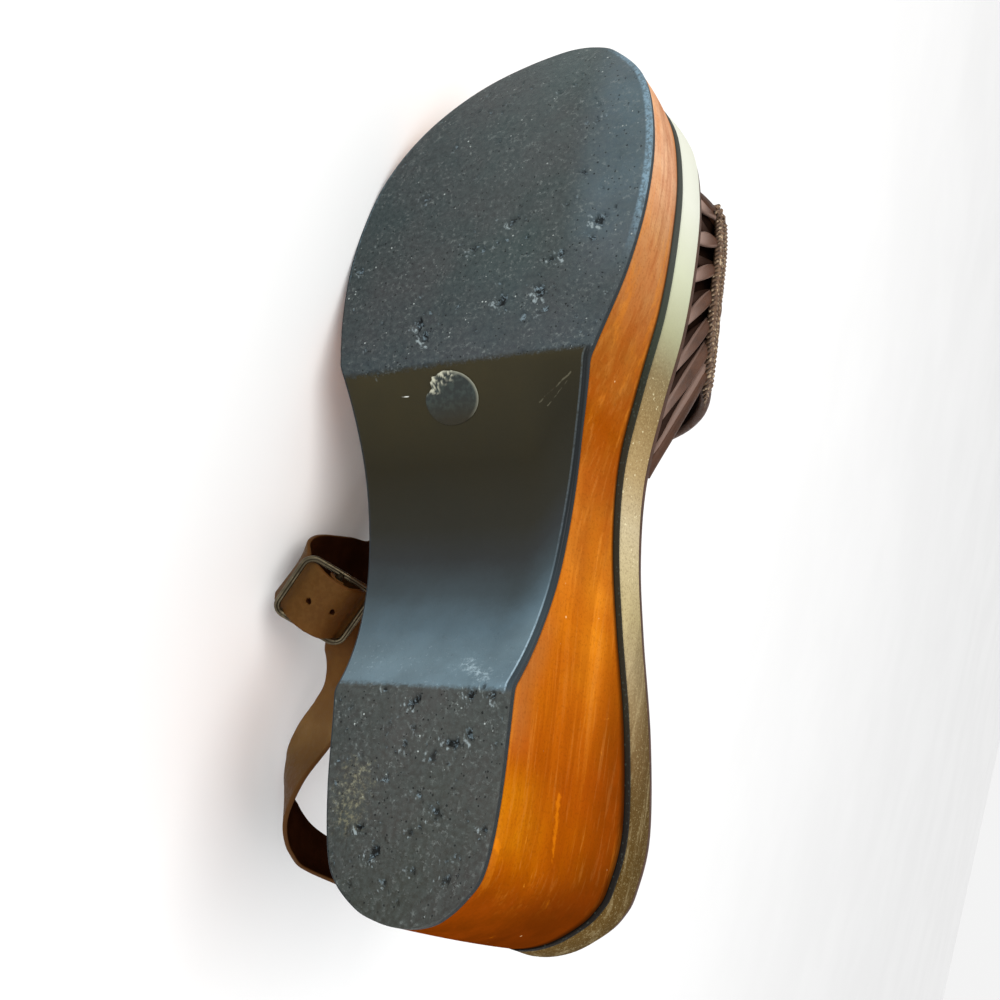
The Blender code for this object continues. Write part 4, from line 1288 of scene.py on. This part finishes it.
class CLOG_OT_vamp_braid(bpy.types.Operator):
    """Build the plaited cord along both sides of the vamp"""
    bl_idname = "clog.vamp_braid"
    bl_label = "Braid"

    def execute(self, context):
        bm = new_skin()
        for side in (INNER, OUTER):
            path = [(0.085, 0.004), (0.107, 0.006)]
            path += [(braid_place(along), along) for along in 0.01 + 0.99 * np.arange(61) / 60]
            if side == OUTER:
                path = [(1 - across, along) for across, along in path]
            guide, outs = on_vamp(path, 1.0)
            onward = unit(guide[-1] - guide[-4])
            guide = np.vstack([guide] + [guide[-1] + onward * k for k in (1.5, 3.0, 4.5, 6.0)])
            outs = np.vstack([outs] + [outs[-1:]] * 4)
            gone = walked(guide)
            total = gone[-1]
            walk = np.linspace(0.0, total, int(total / PLAIT * PLAIT_STEPS) + 1)
            base, out = at_walk(walk, gone, guide), unit(at_walk(walk, gone, outs))
            wide = np.cross(out, unit(np.gradient(base, axis=0)))
            taper = np.clip((total - walk) / 6.0, 0.12, 1.0)
            for strand in range(3):
                turn = 2 * pi * (walk / PLAIT + strand / 3)
                centres = (base + wide * (PLAIT_SWING * taper * np.sin(turn))[:, None]
                           + out * (PLAIT_RISE * taper * np.sin(2 * turn))[:, None])
                rings = ribbon_rings(centres, wide, STRAND * taper, STRAND_DEPTH * taper, 2,
                                     soft=0.5)
                raised = np.clip(ribbon_profile(2)[:, 3], 0, 1)
                tube(bm, rings, mask=np.tile(raised, (len(rings), 1)))
        finish_vamp(bm, "vamp_braid", braid_material(context.scene.clog_vamp))
        return {"FINISHED"}


# ---- straps and buckle ----
STRAP_CELLS, PUNCHED_CELLS = 18, 34
HOLE_DEPTH = 1.3
WIRE_CELLS, BEND_STEPS, BAR_CELLS, BAR_STEPS = 20, 10, 12, 24
WIRE_ROUND, WIRE_FLAT = 0.8, 1.08  # the wire's radius in WIRE, and its spread in the frame
BAR_SWELL, BAR_EVEN = 0.25, 8.0    # the bar is thicker beyond this far from its middle
# each groove of the buckle's wire: where round the wire, its width, and its depth
GROOVES = ((pi / 2, 0.32, 0.30), (3 * pi / 2, 0.3, 0.18))


def buckle_point(along, across, up):
    """A point in the buckle's own frame: along and across the strap, up towards its face."""
    return BUCKLE_CENTRE + BUCKLE_ALONG * along + ACROSS * across + FACE * up


def buckle_rows(profile):
    return [(buckle_point(*place), ACROSS) for place in profile]


def route_rows(route):
    return [(Vector((x, y, z)), Vector(across)) for x, y, z, across in route]


def strap(name, node, rows, steps, material, cells=STRAP_CELLS, holes=()):
    """A leather strap through rows, with punched holes given as (along, across) in the buckle."""
    centres, sides = (spline([row[k] for row in rows], steps) for k in (0, 1))
    rings = ribbon_rings(centres, sides, STRAP_WIDTH, STRAP, cells, soft=0.34)
    values = ribbon_layers(len(rings), cells)
    push = np.zeros(rings.shape[:2])
    hole = bpy.context.scene.clog_strap.hole / MM
    away = rings - np.array(BUCKLE_CENTRE)
    for along, across in holes:
        reach = np.hypot(away @ np.array(BUCKLE_ALONG) - along, away @ np.array(ACROSS) - across)
        near = np.clip(1 - reach / hole, 0, 1)
        near = np.where((away @ np.array(FACE) > 0.4) & (values["mask"] < 0.5), near, 0)
        push -= HOLE_DEPTH * np.clip(near * 3, 0, 1)
        values["mask"] = np.where(near > 0, 1.0 + np.clip(near * 3, 0, 1), values["mask"])
    bm = new_skin()
    tube(bm, rings, push=push, **values)
    finish_piece(bm, name, material, "strap_leather", node)


class CLOG_OT_straps(bpy.types.Operator):
    """Build the two leather straps that meet in the buckle"""
    bl_idname = "clog.straps"
    bl_label = "Straps"

    def execute(self, context):
        leather = strap_material(context.scene.clog_strap)
        strap("heel_strap_detail", "heel_strap",
              buckle_rows(HEEL_STRAP_FOLD) + route_rows(HEEL_STRAP_ROUTE), 14, leather)
        strap("tail_strap_detail", "tail_strap",
              route_rows(TAIL_STRAP_ROUTE) + buckle_rows(TAIL_STRAP_PANEL), 12, leather,
              PUNCHED_CELLS, HOLES)
        return {"FINISHED"}


class CLOG_OT_buckle(bpy.types.Operator):
    """Build the grooved wire frame of the buckle and its bar"""
    bl_idname = "clog.buckle"
    bl_label = "Buckle"

    def execute(self, context):
        places = []
        for quarter, (sx, sy) in enumerate(((1, 1), (-1, 1), (-1, -1), (1, -1))):
            for step in range(BEND_STEPS + 1):
                angle = pi / 2 * (quarter + step / BEND_STEPS)
                places.append((
                    sx * (HALF - FRAME_BEND) + FRAME_BEND * cos(angle),
                    sy * (BUCKLE_WIDTH / 2 - 0.5 - FRAME_BEND) + FRAME_BEND * sin(angle) + 0.5,
                    cos(angle), sin(angle)))
        turns = [2 * pi * k / WIRE_CELLS for k in range(WIRE_CELLS)]
        grooves = [sum(depth * np.exp(-((turn - middle) / width) ** 2)
                       for middle, width, depth in GROOVES) for turn in turns]
        rings = []
        for along, across, out_along, out_across in places:
            ring = []
            for turn, groove in zip(turns, grooves):
                radius = WIRE * (WIRE_ROUND - groove)
                out = radius * cos(turn) * WIRE_FLAT
                ring.append(buckle_point(along + out_along * out, across + out_across * out,
                                         radius * sin(turn)))
            rings.append(ring)
        bm = new_skin()
        tube(bm, rings, looped=True, mask=[[min(1.0, groove * 3.0) for groove in grooves]]
             * len(rings))
        bar = []
        for k in range(BAR_STEPS + 1):
            across = BUCKLE_WIDTH * (k / BAR_STEPS - 0.5)
            beyond = max(0.0, abs(across) - BAR_EVEN) / (BUCKLE_WIDTH / 2 - BAR_EVEN)
            radius = BAR * (1 + BAR_SWELL * beyond)
            bar.append([buckle_point(radius * cos(angle), across, radius * sin(angle))
                        for angle in (2 * pi * a / BAR_CELLS for a in range(BAR_CELLS))])
        tube(bm, bar)
        finish_piece(bm, "buckle_detail", brass_material(context.scene.clog_strap),
                     "aged_brass", "buckle_frame")
        return {"FINISHED"}


# ---- small things ----
FILM_RINGS, FILM_SPOKES = 18, 96
FILM_FACE, FILM_BACK = 0.24, 0.12            # how far each stands off the rubber
FILM_NOTCH = (0.2, 0.55, 0.2)                # its depth, and its place and width as angles
PEEL_TOWARDS, PEEL_FROM = (0.42, 0.91), 0.62
STITCH_GAP, STITCH_SIZE = 2.6, (1.0, 0.28, 0.24)
STITCH_ROWS, STITCH_SPAN, STITCH_RISE = (0.045, 0.955), (0.16, 0.84), 1.35


def film_point(level, out, angle):
    """A point of the sticker, how pale it is, where peeled and as a painted highlight on its rim,
    and how far it is lost in the rubber's colour.
    """
    u, v = cos(angle), sin(angle)
    depth, middle, width = FILM_NOTCH
    notch = 1 - depth * np.exp(-((angle - middle) / width) ** 2)
    crinkle = noise.noise(Vector((u * out * FILM_RINGS, v * out * FILM_RINGS, 3.0)) * 0.55)
    x = STICKER_CENTRE[0] + STICKER_REACH[0] * notch * out * u
    y = STICKER_CENTRE[1] + STICKER_REACH[1] * notch * out * v
    facing = PEEL_TOWARDS[0] * u + PEEL_TOWARDS[1] * v
    peel = max(0.0, facing - PEEL_FROM) / (1 - PEEL_FROM) * max(0.0, out - 0.5) * 2
    lift = level + peel * (0.5 + 0.9 * crinkle)
    # a painted highlight along one side of the rim
    rim = max(0.0, out - 0.9) / 0.1 * max(0.0, 0.35 + v - u) * 0.3
    pale = min(1.0, peel * 5.0 * max(0.0, crinkle + 0.02) + rim)
    return (x, y, soft_tread_z(y - skew(y) * x) - lift), pale, limit((0.1 - v * out) * 1.1)


class CLOG_OT_sticker(bpy.types.Operator):
    """Build the bare clear film stuck on the arch"""
    bl_idname = "clog.sticker"
    bl_label = "Clear Sticker"

    def execute(self, context):
        bm = new_skin()
        rows = [[film_point(level, k / FILM_RINGS, 2 * pi * s / FILM_SPOKES)
                 for s in range(FILM_SPOKES)]
                for level, steps in ((FILM_FACE, range(1, FILM_RINGS + 1)),
                                     (FILM_BACK, range(FILM_RINGS, 0, -1))) for k in steps]
        rings, pale, lost = ([[cell[k] for cell in row] for row in rows] for k in range(3))
        tube(bm, rings, mask=pale, edge=lost)
        finish_piece(bm, "clear_sticker", film_material(), "outsole_rubber")
        return {"FINISHED"}


class CLOG_OT_stitches(bpy.types.Operator):
    """Build the rows of thread along the vamp's two rims"""
    bl_idname = "clog.stitches"
    bl_label = "Stitches"

    def execute(self, context):
        bm = new_skin()
        for along in STITCH_ROWS:
            points, outs = on_vamp([(across, along) for across in np.linspace(*STITCH_SPAN, 121)],
                                   STITCH_RISE)
            gone = walked(points)
            for walk in np.arange(STITCH_GAP / 2, gone[-1], STITCH_GAP):
                place = Vector(at_walk(walk, gone, points))
                onward = Vector(at_walk(walk + 0.4, gone, points)) - place
                if onward.length < 1e-6:
                    continue
                onward.normalize()
                side = Vector(at_walk(walk, gone, outs)).cross(onward).normalized()
                turn = Matrix([axis * size for axis, size in zip(
                    (onward, side, onward.cross(side)), STITCH_SIZE)]).transposed()
                made = bmesh.ops.create_icosphere(bm, subdivisions=1, radius=1.0)["verts"]
                bmesh.ops.transform(bm, matrix=Matrix.Translation(place) @ turn.to_4x4(),
                                    verts=made)
        finish_piece(bm, "stitches", thread_material(), "woven_leather")
        return {"FINISHED"}


# ---- the stage ----
FLOOR_REACH = 6.0
AIM = (0.0, 0.0, 0.05)        # where every light points
VIEW_FROM = (-143.5, 10.3, -212.7)
VIEW_ALONG = (0.4894, 0.3353, 0.805)
VIEW_RIGHT = (-0.8697, 0.1199, 0.4787)


def area_light(name, place, size, power, colour_value):
    data = bpy.data.lights.new(name, "AREA")
    data.shape, data.size, data.energy, data.color = "DISK", size, power, colour_value
    light = bpy.data.objects.new(name, data)
    aim = Vector(AIM) - Vector(place)
    light.matrix_world = Matrix.Translation(place) @ aim.to_track_quat("-Z", "Y").to_matrix(
        ).to_4x4()
    bpy.context.scene.collection.objects.link(light)


class CLOG_OT_stage(bpy.types.Operator):
    """Set the pale floor, the soft lights and the camera"""
    bl_idname = "clog.stage"
    bl_label = "Stage"

    def execute(self, context):
        scene, settings = context.scene, context.scene.clog_stage
        bm = bmesh.new()
        bmesh.ops.create_grid(bm, x_segments=8, y_segments=8, size=FLOOR_REACH)
        mesh = bpy.data.meshes.new("floor")
        bm.to_mesh(mesh)
        bm.free()
        floor = bpy.data.objects.new("floor", mesh)
        mesh.materials.append(floor_material())
        scene.collection.objects.link(floor)

        world = bpy.data.worlds.new("soft room")
        world.use_nodes = True
        sky = world.node_tree.nodes["Background"]
        sky.inputs["Color"].default_value = (1.0, 1.0, 1.0, 1.0)
        sky.inputs["Strength"].default_value = settings.sky
        scene.world = world
        scene.view_settings.view_transform = "Standard"
        area_light("key", (-0.75, 0.35, 0.9), 0.9, settings.key_power, (1.0, 0.98, 0.95))
        area_light("fill", (-0.6, -0.9, 0.5), 0.8, settings.fill_power, (0.85, 0.93, 1.0))

        turn = SHOE.to_3x3().normalized()
        along = (turn @ Vector(VIEW_ALONG)).normalized()
        right = turn @ Vector(VIEW_RIGHT)
        right = (right - along * right.dot(along)).normalized()
        data = bpy.data.cameras.new("camera")
        data.lens, data.sensor_width, data.clip_start = settings.lens, 36.0, 0.01
        camera = bpy.data.objects.new("camera", data)
        camera.matrix_world = Matrix.Translation(SHOE @ Vector(VIEW_FROM)) @ Matrix(
            (right, right.cross(along), -along)).transposed().to_4x4()
        scene.collection.objects.link(camera)
        scene.camera = camera
        return {"FINISHED"}


class CLOG_PT_panel(bpy.types.Panel):
    bl_label = "Clog Sandal"
    bl_idname = "CLOG_PT_panel"
    bl_space_type = "VIEW_3D"
    bl_region_type = "UI"
    bl_category = "Clog"

    def draw(self, context):
        for operator in OPERATORS:
            self.layout.operator(operator.bl_idname)


OPERATORS = (CLOG_OT_stage, CLOG_OT_outsole, CLOG_OT_sole_layers, CLOG_OT_vamp_weave,
             CLOG_OT_vamp_sides, CLOG_OT_vamp_braid, CLOG_OT_straps, CLOG_OT_buckle,
             CLOG_OT_sticker, CLOG_OT_stitches)
SETTINGS = (("clog_sole", ClogSoleSettings), ("clog_vamp", ClogVampSettings),
            ("clog_strap", ClogStrapSettings), ("clog_stage", ClogStageSettings))


def register():
    for name, group in SETTINGS:
        bpy.utils.register_class(group)
        setattr(bpy.types.Scene, name, PointerProperty(type=group))
    for item in OPERATORS + (CLOG_PT_panel,):
        bpy.utils.register_class(item)


def unregister():
    for item in reversed(OPERATORS + (CLOG_PT_panel,)):
        bpy.utils.unregister_class(item)
    for name, group in reversed(SETTINGS):
        delattr(bpy.types.Scene, name)
        bpy.utils.unregister_class(group)


def main():
    register()
    for operator in OPERATORS:
        family, name = operator.bl_idname.split(".")
        getattr(getattr(bpy.ops, family), name)()


if __name__ == "__main__":
    main()
